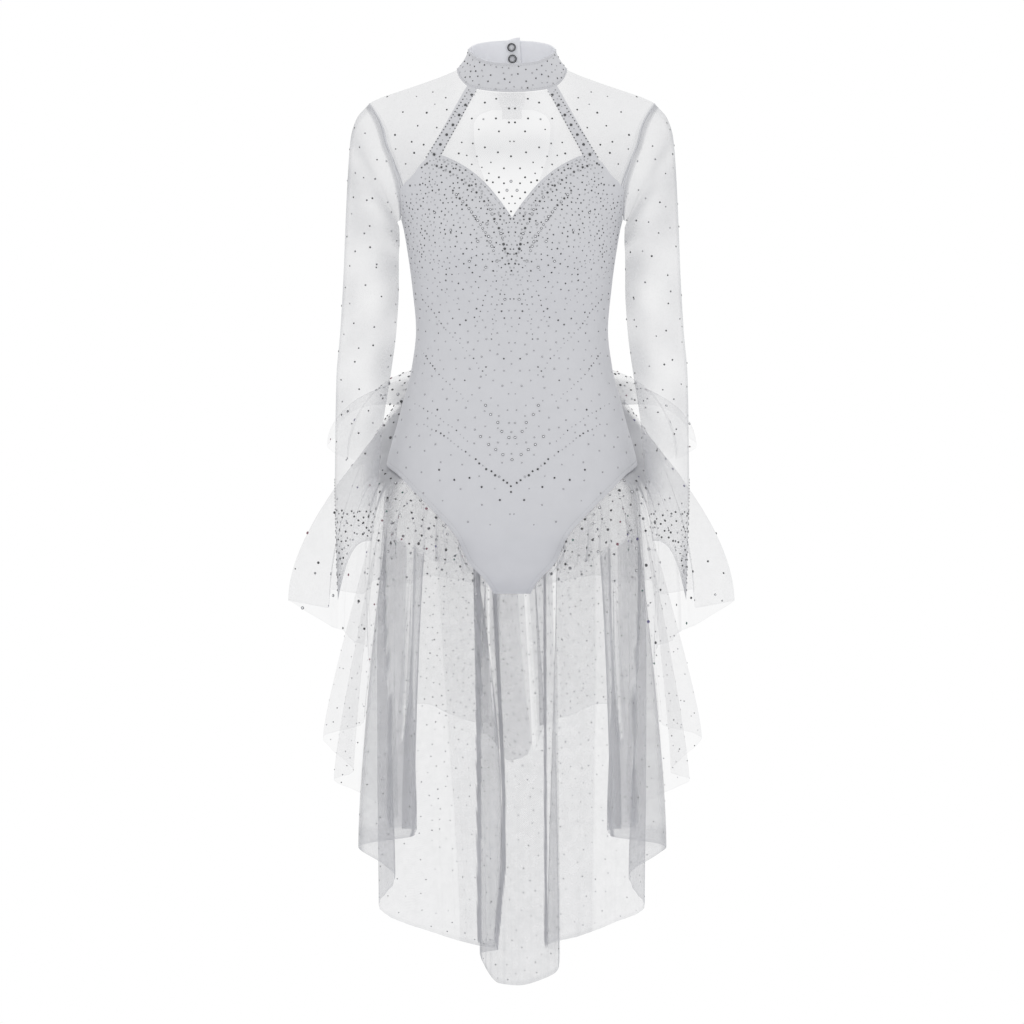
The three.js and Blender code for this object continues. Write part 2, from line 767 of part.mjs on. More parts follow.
// Brief back: under the skirt, from the skirt seam to the crotch
function briefBack() {
  const top = (u) => {
    const turn = mix(90, 180, u);
    return { turn, drop: seamDrop(turn) + TIER_GAP };
  };
  const { body, gusset } = legShapes(BRIEF_LEG, 180, BRIEF_GUSSET_STEP, top, GRID.brief.columns);
  const offset = (u, v, turn, drop) => {
    const rise = THREE.MathUtils.smoothstep(drop, BRIEF_RISE.start, BRIEF_RISE.end);
    return mix(LAYER.brief, LAYER.bodice, rise);
  };
  const wall = new Wall();
  const cloth = { offset, thickness: CLOTH, side: BEHIND };
  for (const mirror of [same, flipBehind]) {
    layerPatch(wall, mirrored(body, mirror), { ...cloth, ...GRID.brief });
    layerPatch(wall, mirrored(gusset, mirror), { ...cloth, ...GRID.briefGusset });
  }
  return makeMesh('brief_back', wall.geometry(), 'stretch');
}

// A point of the collar, v from 0 at its top edge to 1 at the neck. It spreads most near the neck.
function collarPoint(turn, v) {
  const half = turn > 180 ? 360 - turn : Math.abs(turn);
  const sign = turn > 180 || turn < 0 ? -1 : 1;
  const { turn: seamTurn, drop } = neckAt(half);
  const low = bodyPoint(seamTurn, drop);
  low.z += COLLAR_LIFT;
  const high = new THREE.Vector3(
    read(COLLAR_TOP, 'turn', 'x', half),
    read(COLLAR_TOP, 'turn', 'y', half),
    read(COLLAR_TOP, 'turn', 'z', half),
  );
  const spread = v ** COLLAR_HOLLOW;
  const x = sign * mix(high.x, low.x, spread);
  return new THREE.Vector3(x, mix(high.y, low.y, spread), mix(high.z, low.z, v));
}

function collarPiece(name, from, to, { columns, rows }, look, step = 0) {
  const points = [];
  for (let i = 0; i <= columns; i++) {
    const turn = mix(from, to, i / columns);
    const { start, full } = COLLAR_CORNER;
    const corner = step < 0 ? THREE.MathUtils.smoothstep(turn, start, full) : 0;
    points.push([]);
    for (let j = 0; j <= rows; j++) {
      const point = collarPoint(turn, j / rows);
      point.y += step * lapShare(turn, COLLAR_LAP);
      point.z += COLLAR_RAISED_CORNER * corner * (1 - j / rows);
      points[i].push(point);
    }
  }
  const axis = (point) => new THREE.Vector3(0, 0, point.z);
  return makeMesh(name, sheetWall(points, COLLAR_CLOTH, axis).geometry(), look);
}

function collar() {
  const end = 180 + Math.asin(OVERLAP_HALF / (NECK_WIDTH / 2)) / RADIANS;
  const start = COLLAR_FRONT_TURN + COLLAR_SIDE_GAP;
  const { collarFront, collarBack } = GRID;
  return [
    collarPiece('collar_front', -COLLAR_FRONT_TURN, COLLAR_FRONT_TURN, collarFront, 'stretch'),
    collarPiece('collar_back_left', start, end, collarBack, 'inside', -OVERLAP_STEP),
    collarPiece('collar_back_right', 360 - start, 360 - end, collarBack, 'inside', OVERLAP_STEP),
  ];
}

// Snap rings at the back of the collar, inside and outside
function snap(name, { x, z }, outside) {
  const { outer, inner, thick, seat, lean, sides } = SNAP;
  const profile = [[inner, -thick / 2], [outer, -thick / 2], [outer, thick / 2], [inner, thick / 2]];
  profile.push(profile[0]);
  const ring = new THREE.LatheGeometry(profile.map(([r, h]) => new THREE.Vector2(r, h)), sides);
  const top = collarPoint(180, 0).z;
  const v = (top - z) / (top - COLLAR_LIFT);
  const face = collarPoint(180, v).y + (outside ? OVERLAP_STEP : -OVERLAP_STEP - COLLAR_CLOTH);
  const mesh = makeMesh(name, ring, 'snap');
  mesh.position.set(x, face + (outside ? 1 : -1) * (seat + thick / 2), z);
  mesh.rotation.x = lean * RADIANS;
  return mesh;
}

function snaps() {
  return [
    snap('snap_upper_inner', SNAP_PLACES.upper, false),
    snap('snap_upper_outer', SNAP_PLACES.upper, true),
    snap('snap_lower_inner', SNAP_PLACES.lower, false),
    snap('snap_lower_outer', SNAP_PLACES.lower, true),
  ];
}

// Sleeve: the armhole ring, the sections of the table and the pointed end
function sleeve(name, sign) {
  const { sides } = GRID.sleeve;
  const points = [];
  for (let i = 0; i <= sides; i++) {
    const clock = (360 * i) / sides;
    const cos = Math.cos(clock * RADIANS);
    const sin = Math.sin(clock * RADIANS);
    const behind = clock <= 180;
    const edge = armholeAt(behind ? clock : 360 - clock, behind);
    const start = bodyPoint(edge.turn, edge.drop);
    start.x -= mix(SLEEVE_GAP.shoulder, SLEEVE_GAP.armpit, ((1 - cos) / 2) ** 2);
    const column = [start];
    for (const row of SLEEVE) {
      const x = row.x + row.outX * cos;
      column.push(new THREE.Vector3(x, row.y + row.depth * sin, row.z + row.outZ * cos));
    }
    const end = SLEEVE_END;
    const tip = end.point * ((1 + cos) / 2) ** end.sharp;
    column.push(new THREE.Vector3(end.x + end.out * cos, end.y + end.depth * sin, end.z - tip));
    points.push(column.map((point) => point.setX(point.x * sign)));
  }
  const axis = (point) => new THREE.Vector3(SLEEVE_AXIS.x * sign, SLEEVE_AXIS.y, point.z);
  return makeMesh(name, sheetWall(points, MESH, axis, true).geometry(), 'mesh');
}

// Turns of a tier's columns: a few for each fold, and none further apart than the seam's curve allows
function tierTurns(hem, perFold) {
  const turns = [hem[0].turn];
  for (let k = 1; k < hem.length; k++) {
    const middle = (hem[k].turn + hem[k - 1].turn) / 2;
    const fromFront = Math.min(middle, 360 - middle);
    const widest = Math.abs(fromFront - STEEP_SEAM.turn) < STEEP_SEAM.reach ? STEEP_SEAM.step : TIER_STEP;
    const steps = Math.max(perFold, Math.ceil((hem[k].turn - hem[k - 1].turn) / widest));
    for (let i = 1; i <= steps; i++) turns.push(mix(hem[k - 1].turn, hem[k].turn, i / steps));
  }
  return turns;
}

// Moves a point out of the hips, in plan, if it is within the given distance of them
function clearOfHips(point, distance) {
  const drop = Math.min(-point.z, CROTCH_DROP);
  const half = read(TORSO, 'drop', 'half', drop) + distance;
  const depth = read(TORSO, 'drop', point.y < 0 ? 'front' : 'back', drop) + distance;
  const share = Math.hypot(point.x / half, point.y / depth);
  if (share >= 1 || drop > HIPS_END) return point;
  point.x /= share;
  point.y /= share;
  return point;
}

// Skirt tier: each column falls from the seam to its place on the hem
function tierPoints(hem, { layer, out, down, hang, rows, perFold, clear }) {
  return tierTurns(hem, perFold).map((turn) => {
    const column = (name) => read(hem, 'turn', name, turn);
    const low = new THREE.Vector3(column('x'), column('y'), column('z'));
    const drop = seamDrop(turn) + TIER_GAP;
    const normal = bodyNormal(turn, drop);
    const high = bodyPoint(turn, drop).addScaledVector(normal, layer);
    const length = low.distanceTo(high);
    const leave = high.clone().addScaledVector(normal, out * length);
    leave.z -= down * length;
    const arrive = low.clone();
    arrive.z += hang * length;
    const points = new THREE.CubicBezierCurve3(high, leave, arrive, low).getPoints(rows);
    return points.map((point, j) => {
      const share = Math.min(1, j / (rows * TIER_CLEAR_BY));
      return clearOfHips(point, mix(layer, clear, share));
    });
  });
}

function tier(name, hem, shape) {
  const axis = (point) => new THREE.Vector3(0, 0, point.z - TIER_FACING_BELOW);
  return makeMesh(name, sheetWall(tierPoints(hem, shape), MESH, axis).geometry(), 'net');
}

function skirt() {
  const whole = (rows) => [...rows, ...mirrorRows(rows.slice(0, -1))];
  return [
    tier('peplum_back', whole(PEPLUM_HEM), TIERS.peplum),
    tier('flounce_short', whole(FLOUNCE_HEM), TIERS.flounce),
    tier('skirt_mid_left', [...MIDDLE_SIDE, ...MIDDLE_LEFT_BACK], TIERS.middle),
    tier('skirt_mid_right', [...MIDDLE_RIGHT_BACK, ...mirrorRows(MIDDLE_SIDE)], TIERS.middle),
    tier('skirt_long', [...LONG_SIDE, ...LONG_TAIL, ...mirrorRows(LONG_SIDE)], TIERS.long),
  ];
}

const dress = new THREE.Group();
dress.name = 'figure_skating_dress';
dress.add(...collar(), ...snaps());
dress.add(yokeFront(), yokeBack('yoke_back_left', same, -PLACKET_STEP));
dress.add(yokeBack('yoke_back_right', flipBehind, PLACKET_STEP));
dress.add(bodiceFront(), bodiceBack(), briefBack());
dress.add(sleeve('sleeve_left', 1), sleeve('sleeve_right', -1));
dress.add(...skirt());

export default dress;
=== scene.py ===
"""Looks of the figure skating dress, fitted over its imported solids.

The tables and formulas are in millimetres, +Z up, front towards -Y, and meshes are made in metres.
turn: degrees round the body, 0 centre front, 90 left side, 180 centre back, 270 right side.
drop: millimetres down from the origin, and along the curve under the crotch below 640.
Left and right are as seen from the front, so left is -X.
"""

import math

import bpy
import numpy as np
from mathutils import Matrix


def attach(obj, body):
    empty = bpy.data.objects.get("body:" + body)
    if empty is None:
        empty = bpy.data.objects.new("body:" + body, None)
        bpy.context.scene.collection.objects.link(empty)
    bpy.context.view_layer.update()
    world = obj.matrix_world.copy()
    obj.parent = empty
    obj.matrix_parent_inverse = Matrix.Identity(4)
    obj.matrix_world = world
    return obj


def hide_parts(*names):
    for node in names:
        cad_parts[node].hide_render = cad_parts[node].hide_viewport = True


MM = 0.001
PIXEL = 1.3
CENTRE_COLUMN = 512
ORIGIN_ROW = 70
NECK_WIDTH = 143
SHOULDER_WIDTH = 370
WAIST_WIDTH = 246
HIP_WIDTH = 336
ARMHOLE_TOP = 44
ARMPIT_DROP = 195
ARMHOLE_DEPTH = 100
CUP_X, CUP_DROP, CUP_RISE, CUP_SPREAD = 68, 225, 20, 45
COLLAR_CLOTH = 1.6
SEAM_GAP = 0.6
TIER_GAP = 0.8
SIDE_GAP = 0.25
LAYER = {
    "yoke": 0,
    "bodice": 1.8,
    "strap": 2.9,
    "peplum": 0.2,
    "flounce": -2,
    "middle": -3.5,
    "long": -5,
    "brief": -7.4,
}
COLLAR_LIFT = 1.4
COLLAR_FRONT_TURN = 95
COLLAR_SIDE_GAP = 0.9
COLLAR_RAISED_CORNER = 4
COLLAR_HOLLOW = 1.5
OVERLAP_HALF = 13
OVERLAP_STEP = 1.15
PLACKET_STEP = 0.7
KEYHOLE_TOP = 50
KEYHOLE_LOBE = 27
TONGUE_END = 62
CROTCH_DROP = 740
GUSSET_DROP = 655
GUSSET_STEP = 5
GUSSET_SHARE = 11 / 14
STRAP_HIGH = 24
STRAP_LOW = 119
BAND_CLOTH = 1.2
LINING_GAP = 0.8
COLLAR_BACK_TOP = 40
SNAP_OUT = 1.8
STONE_LIFT = 0.15
SMALL_STONE = 1.25
WELD = 20e-6
SEED = 31
FOLD_TOP = 60
HIPS_END = 670
SLEEVE_END = dict(x=-203.5, y=-80, z=-612, half=22, depth=27, point=77)
SLEEVE_LIFT = (0.7, 3)
VIEW_WIDTH = 1.3312
VIEW_MIDDLE = -0.5746
BIAS = 0.785
FRONT = -1
BEHIND = 1
MIRROR = np.array([-1, 1, 1])
LEVEL = np.array([1, 1, 0])
ENDS = np.array([0.0, 1.0])


def table(columns, rows):
    return dict(zip(columns.split(), np.array(rows, float).T))


TORSO = table("drop z half front back", [
    (0, 0, NECK_WIDTH / 2, 12, 46),
    (8, -8, 90, 21, 54),
    (15, -15, 109, 30, 58),
    (22, -22, 129, 40, 62),
    (28, -28, 147, 51, 66),
    (36, -36, 170, 64, 70),
    (44, -44, SHOULDER_WIDTH / 2, 70, 74),
    (60, -60, 190, 78, 80),
    (91, -91, 193, 87, 90),
    (117, -117, 182, 95, 94),
    (150, -150, 162, 103, 96),
    (195, -195, 142, 109, 95),
    (230, -230, 135, 111, 92),
    (286, -286, 127.4, 102, 85),
    (338, -338, WAIST_WIDTH / 2, 92, 78),
    (388, -388, 128.7, 96, 85),
    (428, -428, 139, 101, 92),
    (455, -455, 146, 103, 98),
    (511, -511, 161, 106, 104),
    (560, -560, HIP_WIDTH / 2, 104, 104),
    (600, -600, 165, 98, 96),
    (640, -640, 150, 78, 76),
    (665, -662, 132, 64, 64),
    (690, -674, 126, 44, 44),
    (715, -678.5, 122, 22, 22),
    (CROTCH_DROP, -679, 120, 0, 0),
])
NECK = table("x drop", [
    (0, 31.5), (21, 30.5), (42, 27.7), (57, 23.4), (66, 15), (70.5, 6), (NECK_WIDTH / 2, 0),
])
BODICE_TOP = [
    (-127, 137), (-112, 119), (-105, 117), (-98, 115), (-91, 113), (-76, 119),
    (-60, 128), (-44, 140), (-29, 155), (-14, 174), (0, 194),
]
BODICE_TOP_START = 158
STRAP_ROOT = (5, 8)
STRAP_TOP = ((-58, 24), (-45, 28.2))
LEG_LINE = table("step turn drop", [
    (0, 90, 510), (1, 64.5, 525), (2, 48.5, 548), (3, 35.6, 576), (4, 25.4, 608),
    (5, 21.8, 638), (6, 14.9, 665), (7, 11.9, 690), (8, 11.3, 715), (9, 11.54, CROTCH_DROP),
])
SKIRT_SEAM = table("turn drop", [
    (11.9, 690), (14.9, 665), (21.8, 638), (25.4, 608), (35.6, 576), (48.5, 548), (64.5, 525),
    (90, 510), (97, 480), (105, 440), (120, 398), (135, 382), (150, 384), (165, 402), (180, 428),
])
BRIEF_LEG = table("step turn drop", [
    (0, 90, 516), (1, 115.5, 527), (2, 131.5, 549), (3, 144.4, 576), (4, 154.6, 608),
    (5, 158.2, 638), (6, 165.1, 665), (7, 168.1, 690), (8, 168.7, 715), (9, 168.46, CROTCH_DROP),
])
KEYHOLE = table("step x drop", [
    (0, -KEYHOLE_LOBE, KEYHOLE_TOP), (1, -44, 58), (2, -50, 72), (3, -48, 100),
    (4, -36, 140), (5, -20, 175), (6, -3, 200), (7, -0.3, 213.4),
])
COLLAR_TOP = table("turn x y z", [
    (0, 0, -56, 6), (30, -29, -49, 9), (60, -50, -28, 18), (90, -57, -2, 26),
    (120, -50, 21, 33), (150, -29, 38, 38), (180, 0, 43, 40),
])
SLEEVE = [
    (-175.3, -130.5, -26.5, 67.5, 49, -1),
    (-178, -147, -31.5, 59, 47, -2),
    (-179.5, -176, -33.5, 46, 43, -4),
    (-181.5, -217.5, -34.5, 27.5, 40, -7),
    (-183, -276, -36, 8, 39, -12),
    (-186.5, -338, -36.5, 0, 38, -18),
    (-193, -400, -35, 0, 36, -28),
    (-198, -460, -31, 0, 33, -42),
    (-200.5, -520, -29, 0, 31, -58),
    (-203, -575, -25.7, 0, 28, -74),
]
PEPLUM_HEM = [
    (106, -228, 40, -476), (112, -241, 62, -489), (119, -214, 88, -506), (126, -216, 118, -500),
    (134, -178, 132, -520), (142, -165, 168, -512), (150, -122, 172, -532), (158, -98, 204, -530),
    (166, -62, 196, -552), (174, -28, 222, -560), (180, 0, 208, -572),
]
FLOUNCE_HEM = [
    (14, -34, -68, -675), (21, -55, -86, -654), (24.5, -64, -98, -648), (29, -79, -108, -641),
    (33, -91, -98, -639), (37, -103, -118, -638), (42, -112, -104, -630), (47, -157, -122, -608),
    (53, -150, -92, -628), (58, -163, -72, -660), (66, -184, -58, -773), (73, -188, -44, -750),
    (80, -208, -30, -741), (86, -218, -6, -730), (92, -234, 22, -724), (98, -291, 50, -690),
    (110, -240, 92, -700), (118, -236, 124, -676), (126, -196, 134, -682), (135, -180, 172, -664),
    (144, -136, 168, -668), (153, -112, 204, -658), (162, -70, 194, -664), (171, -38, 224, -672),
    (180, 0, 212, -684),
]
MIDDLE_SIDE = [
    (41, -129, -92, -983), (46, -158, -104, -983), (51, -134, -78, -980), (57, -156, -66, -975),
    (63, -148, -50, -968), (71, -196, -26, -940), (78, -231, -4, -923), (86, -206, 28, -912),
    (96, -247, 60, -870), (108, -196, 92, -852), (120, -188, 128, -836), (132, -146, 134, -828),
    (144, -114, 162, -826), (154, -80, 154, -840),
]
MIDDLE_LEFT_BACK = [
    (162, -43, 176, -851), (167, -31, 186, -850), (171, -45, 196, -855), (174, -20, 204, -880),
    (177, -4, 206, -901), (180, 20, 202, -893), (181.5, 26, 198, -878),
]
MIDDLE_RIGHT_BACK = [
    (183, 34, 198, -876), (186, 43, 188, -853), (189, 36, 180, -855), (193, 45, 170, -853),
    (199, 60, 176, -846),
]
LONG_SIDE = [
    (41, -127, -58, -985), (46, -142, -58, -985), (51, -124, -40, -987), (58, -128, -22, -995),
    (70, -200, 4, -1011), (77, -152, 26, -1048),
]
LONG_TAIL = [
    (88, -174, 66, -1086), (118, -96, 128, -1127), (140, -46, 150, -1142), (152, -18, 160, -1148),
    (158, -42, 176, -1154), (164, -34, 184, -1174), (171, -17, 192, -1193), (180, 9, 198, -1196),
    (190, 42, 194, -1187), (197, 60, 186, -1175), (202, 63, 176, -1156), (207, 46, 168, -1144),
    (222, 88, 148, -1130), (242, 130, 118, -1113), (270, 173, 66, -1087),
]
TIERS = {
    "peplum": dict(layer=LAYER["peplum"], out=0.6, down=0.05, hang=0.3, clear=18),
    "flounce": dict(layer=LAYER["flounce"], out=0.24, down=0.14, hang=0.3, clear=14),
    "middle": dict(layer=LAYER["middle"], out=0.05, down=0.2, hang=0.12, clear=10),
    "long": dict(layer=LAYER["long"], out=0.05, down=0.2, hang=0.2, clear=3),
}


# Reading the tables

def read(rows, key, column, at):
    """A column between its rows, smooth and without overshoot."""
    x, y = rows[key], rows[column]
    at = np.clip(np.asarray(at, float), x[0], x[-1])
    slope = np.diff(y) / np.diff(x)
    tangent = np.zeros_like(y)
    tangent[0], tangent[-1] = slope[0], slope[-1]
    product = slope[:-1] * slope[1:]
    total = np.where(product > 0, slope[:-1] + slope[1:], 1)
    tangent[1:-1] = np.where(product > 0, 2 * product / total, 0)
    i = np.clip(np.searchsorted(x, at, side="right") - 1, 0, len(x) - 2)
    width = x[i + 1] - x[i]
    t = (at - x[i]) / width
    start = (1 + 2 * t) * (1 - t) ** 2 * y[i] + t * (1 - t) ** 2 * width * tangent[i]
    return start + (3 - 2 * t) * t ** 2 * y[i + 1] - (1 - t) * t ** 2 * width * tangent[i + 1]


def at_step(rows, at):
    """Turn and drop at a step, whole or between, of a table of places."""
    return np.stack([read(rows, "step", column, at) for column in ("turn", "drop")], -1)


def mix(a, b, t):
    return a + (b - a) * t


def smoothstep(x, low, high):
    t = np.clip((np.asarray(x, float) - low) / (high - low), 0, 1)
    return t * t * (3 - 2 * t)


def mirror_rows(rows):
    return [(360 - turn, -x, y, z) for turn, x, y, z in reversed(rows)]


# The body surface

def body(turn, drop):
    turn, drop = np.broadcast_arrays(np.asarray(turn, float), np.asarray(drop, float))
    angle = np.radians(turn)
    half = read(TORSO, "drop", "half", drop)
    in_front = np.cos(angle) >= 0
    depth = np.where(in_front, read(TORSO, "drop", "front", drop), read(TORSO, "drop", "back", drop))
    x = -half * np.sin(angle)
    y = -depth * np.cos(angle)
    away = ((np.abs(x) - CUP_X) ** 2 + (drop - CUP_DROP) ** 2) / CUP_SPREAD ** 2
    y = y - np.where(in_front, CUP_RISE * np.exp(-away) * np.cos(angle), 0)
    return np.stack([x, y, read(TORSO, "drop", "z", drop)], -1)


def unit(v):
    return v / np.maximum(np.linalg.norm(v, axis=-1, keepdims=True), 1e-9)


def normal(turn, drop):
    across = body(turn + 0.5, drop) - body(turn - 0.5, drop)
    down = body(turn, np.minimum(drop + 0.5, CROTCH_DROP)) - body(turn, np.maximum(drop - 0.5, 0))
    return unit(np.cross(across, down))


def on_body(place, offset, side):
    turn, drop = place[..., 0], place[..., 1]
    point = body(turn, drop) + normal(turn, drop) * np.asarray(offset, float)[..., None]
    point[..., 1] += side * SIDE_GAP
    return point


def at_x(x, drop, behind=False):
    x, drop = np.broadcast_arrays(np.asarray(x, float), np.asarray(drop, float))
    angle = np.degrees(np.arcsin(np.clip(-x / read(TORSO, "drop", "half", drop), -1, 1)))
    return np.stack([180 - angle if behind else angle, drop], -1)


def neck_at(turn):
    turn = np.asarray(turn, float)
    x = NECK_WIDTH / 2 * np.sin(np.radians(turn))
    front = at_x(-x, read(NECK, "x", "drop", np.abs(x)))
    rear = np.stack([turn, np.zeros_like(turn)], -1)
    return np.where((np.cos(np.radians(turn)) <= 0)[..., None], rear, front)


def armhole_at(clock, behind):
    clock = np.asarray(clock, float)
    middle = (ARMHOLE_TOP + ARMPIT_DROP) / 2
    drop = middle - (middle - ARMHOLE_TOP) * np.cos(np.radians(clock))
    depth = read(TORSO, "drop", "back" if behind else "front", drop)
    lean = np.degrees(np.arcsin(ARMHOLE_DEPTH / 2 * np.sin(np.radians(clock)) / depth))
    return np.stack([90 + lean if behind else 90 - lean, drop], -1)


def armhole_clock(drop):
    middle = (ARMHOLE_TOP + ARMPIT_DROP) / 2
    return math.degrees(math.acos((middle - drop) / (middle - ARMHOLE_TOP)))


def armhole_edge(start, end, behind):
    return lambda t: armhole_at(mix(start, end, np.asarray(t, float)), behind)


def seam_drop(turn):
    turn = np.asarray(turn, float)
    return read(SKIRT_SEAM, "turn", "drop", np.where(turn > 180, 360 - turn, turn))


# Patches between four edges; an edge takes an array from 0 to 1 and gives turns and drops

def line(a, b):
    a, b = np.asarray(a, float), np.asarray(b, float)
    return lambda t: a + (b - a) * np.asarray(t, float)[..., None]


def through(points):
    points = np.asarray(points, float)
    rows = {"step": np.arange(len(points), dtype=float), "turn": points[:, 0], "drop": points[:, 1]}
    return lambda t: at_step(rows, np.asarray(t, float) * (len(points) - 1))


def patch(top, bottom, left, right):
    def place(u, v):
        high, low = top(u)[:, None], bottom(u)[:, None]
        near, far = left(v)[None], right(v)[None]
        a, b = u[:, None, None], v[None, :, None]
        t, s = top(ENDS), bottom(ENDS)
        corners = mix(mix(t[0], t[1], a), mix(s[0], s[1], a), b)
        return mix(high, low, b) + mix(near, far, a) - corners
    return place


def steps(count, ease=1.0):
    return np.linspace(0, 1, count + 1) ** ease


def flip(place, mirror, behind=False):
    """The same places on the other half of the front or the back, where mirror is true."""
    out = place.copy()
    if mirror:
        out[..., 0] = (360 if behind else 0) - place[..., 0]
    return out


# Meshes

def lengths(points, axis):
    """How far along its line each point of a grid or path lies."""
    gap = np.linalg.norm(np.diff(points, axis=axis), axis=-1)
    zero = np.zeros_like(np.take(gap, [0], axis=axis))
    return np.cumsum(np.concatenate([zero, gap], axis=axis), axis=axis)


def new_object(name, mesh):
    mesh.update()
    obj = bpy.data.objects.new(name, mesh)
    bpy.context.scene.collection.objects.link(obj)
    return obj


def build(name, grids, material, centre=None, gather_and_shade=None):
    """One mesh from grids of points, facing away from its centre or from the body's axis."""
    verts, faces, uvs = [], [], []
    base = 0
    for points in grids:
        columns, rows = points.shape[:2]
        ids = base + np.arange(columns * rows).reshape(columns, rows)
        quads = np.stack([ids[:-1, :-1], ids[1:, :-1], ids[1:, 1:], ids[:-1, 1:]], -1).reshape(-1, 4)
        across = np.cross(points[1:, :-1] - points[:-1, :-1], points[:-1, 1:] - points[:-1, :-1])
        away = points[:-1, :-1] * np.array([1, 1, 0.15]) if centre is None else points[:-1, :-1] - centre
        if np.sum(across * away) < 0:
            quads = quads[:, ::-1]
        verts.append(points.reshape(-1, 3) * MM)
        faces.append(quads)
        uvs.append(np.stack([lengths(points, 0), lengths(points, 1)], -1).reshape(-1, 2) * MM)
        base += columns * rows
    verts, faces, uvs = np.concatenate(verts), np.concatenate(faces), np.concatenate(uvs)
    keys = np.round(verts / WELD).astype(np.int64)
    _, first, back = np.unique(keys, axis=0, return_index=True, return_inverse=True)
    back = back.reshape(-1)
    welded = back[faces]
    mesh = bpy.data.meshes.new(name)
    flat = [list(dict.fromkeys(f)) for f in welded.tolist()]
    keep = [k for k, f in enumerate(flat) if len(f) > 2]
    mesh.from_pydata(verts[first].tolist(), [], [flat[k] for k in keep])
    layer = mesh.uv_layers.new(name="metres")
    corner_uv = []
    for k in keep:
        seen = set()
        for old, new in zip(faces[k], welded[k]):
            if new in seen:
                continue
            seen.add(new)
            corner_uv.append(uvs[old])
    layer.data.foreach_set("uv", np.array(corner_uv, dtype=np.float32).ravel())
    if gather_and_shade is not None:
        share = mesh.attributes.new("gather_and_shade", "FLOAT", "POINT")
        values = np.concatenate([np.asarray(g, float).reshape(-1) for g in gather_and_shade])
        share.data.foreach_set("value", values[first].astype(np.float32))
    mesh.polygons.foreach_set("use_smooth", [True] * len(keep))
    mesh.materials.append(material)
    return new_object(name, mesh)


def surface(points, u, v):
    """A point and its normal on a grid, at shares u and v."""
    columns, rows = points.shape[0] - 1, points.shape[1] - 1
    x, y = np.clip(u * columns, 0, columns - 1e-6), np.clip(v * rows, 0, rows - 1e-6)
    i, j = x.astype(int), y.astype(int)
    a, b = (x - i)[..., None], (y - j)[..., None]
    p00, p10, p01, p11 = points[i, j], points[i + 1, j], points[i, j + 1], points[i + 1, j + 1]
    at = mix(mix(p00, p10, a), mix(p01, p11, a), b)
    n = unit(np.cross(mix(p10 - p00, p11 - p01, b), mix(p01 - p00, p11 - p10, a)))
    return at, n


# Materials

def put(node, **values):
    """Sets a node's own settings, and its sockets by their names with _ for a space."""
    for key, value in values.items():
        if hasattr(node, key):
            setattr(node, key, value)
        else:
            node.inputs[key.replace("_", " ")].default_value = value
    return node


def add(tree, kind, **values):
    return put(tree.nodes.new("ShaderNode" + kind), **values)


def start_material(name, scale, detail, low, high, span=(0.3, 0.7)):
    """A material whose colour wanders between two by a noise in object space."""
    material = bpy.data.materials.new(name)
    material.use_nodes = True
    tree = material.node_tree
    shader = tree.nodes["Principled BSDF"]
    place = add(tree, "TexCoord").outputs["Object"]
    cloud = noise(tree, place, scale, detail)
    ramp = add(tree, "ValToRGB")
    tree.links.new(cloud, ramp.inputs["Fac"])
    for element, at, colour in zip(ramp.color_ramp.elements, span, (low, high)):
        element.position = at
        element.color = (*colour, 1)
    tree.links.new(ramp.outputs["Color"], shader.inputs["Base Color"])
    return material, tree, shader, place


def grey(value):
    return (value, value * 1.008, value * 1.05)


def weave(tree, pitch, turned=0.0):
    """Two crossed waves at a thread pitch in metres, as a value from 0 to 1."""
    coords = add(tree, "UVMap", uv_map="metres")
    mapping = add(tree, "Mapping", Rotation=(0, 0, turned))
    tree.links.new(coords.outputs["UV"], mapping.inputs["Vector"])
    both = add(tree, "Math", operation="MULTIPLY")
    for slot, direction in enumerate("XY"):
        wave = add(tree, "TexWave", wave_type="BANDS", bands_direction=direction, Scale=math.tau / 20 / pitch)
        tree.links.new(mapping.outputs["Vector"], wave.inputs["Vector"])
        tree.links.new(wave.outputs["Fac"], both.inputs[slot])
    return both.outputs[0]


def noise(tree, vector, scale, detail):
    node = add(tree, "TexNoise", Scale=scale, Detail=detail)
    tree.links.new(vector, node.inputs["Vector"])
    return node.outputs["Fac"]


def stretch(name, low, high, pitch=0.0016):
    """Opaque stretch knit."""
    material, tree, shader, _ = start_material(name, 45, 4, low, high)
    put(shader, Roughness=0.72, Specular_IOR_Level=0.25, Sheen_Weight=0.12, Sheen_Roughness=0.4)
    bump = add(tree, "Bump", Strength=0.25, Distance=0.0002)
    tree.links.new(weave(tree, pitch), bump.inputs["Height"])
    tree.links.new(bump.outputs["Normal"], shader.inputs["Normal"])
    return material


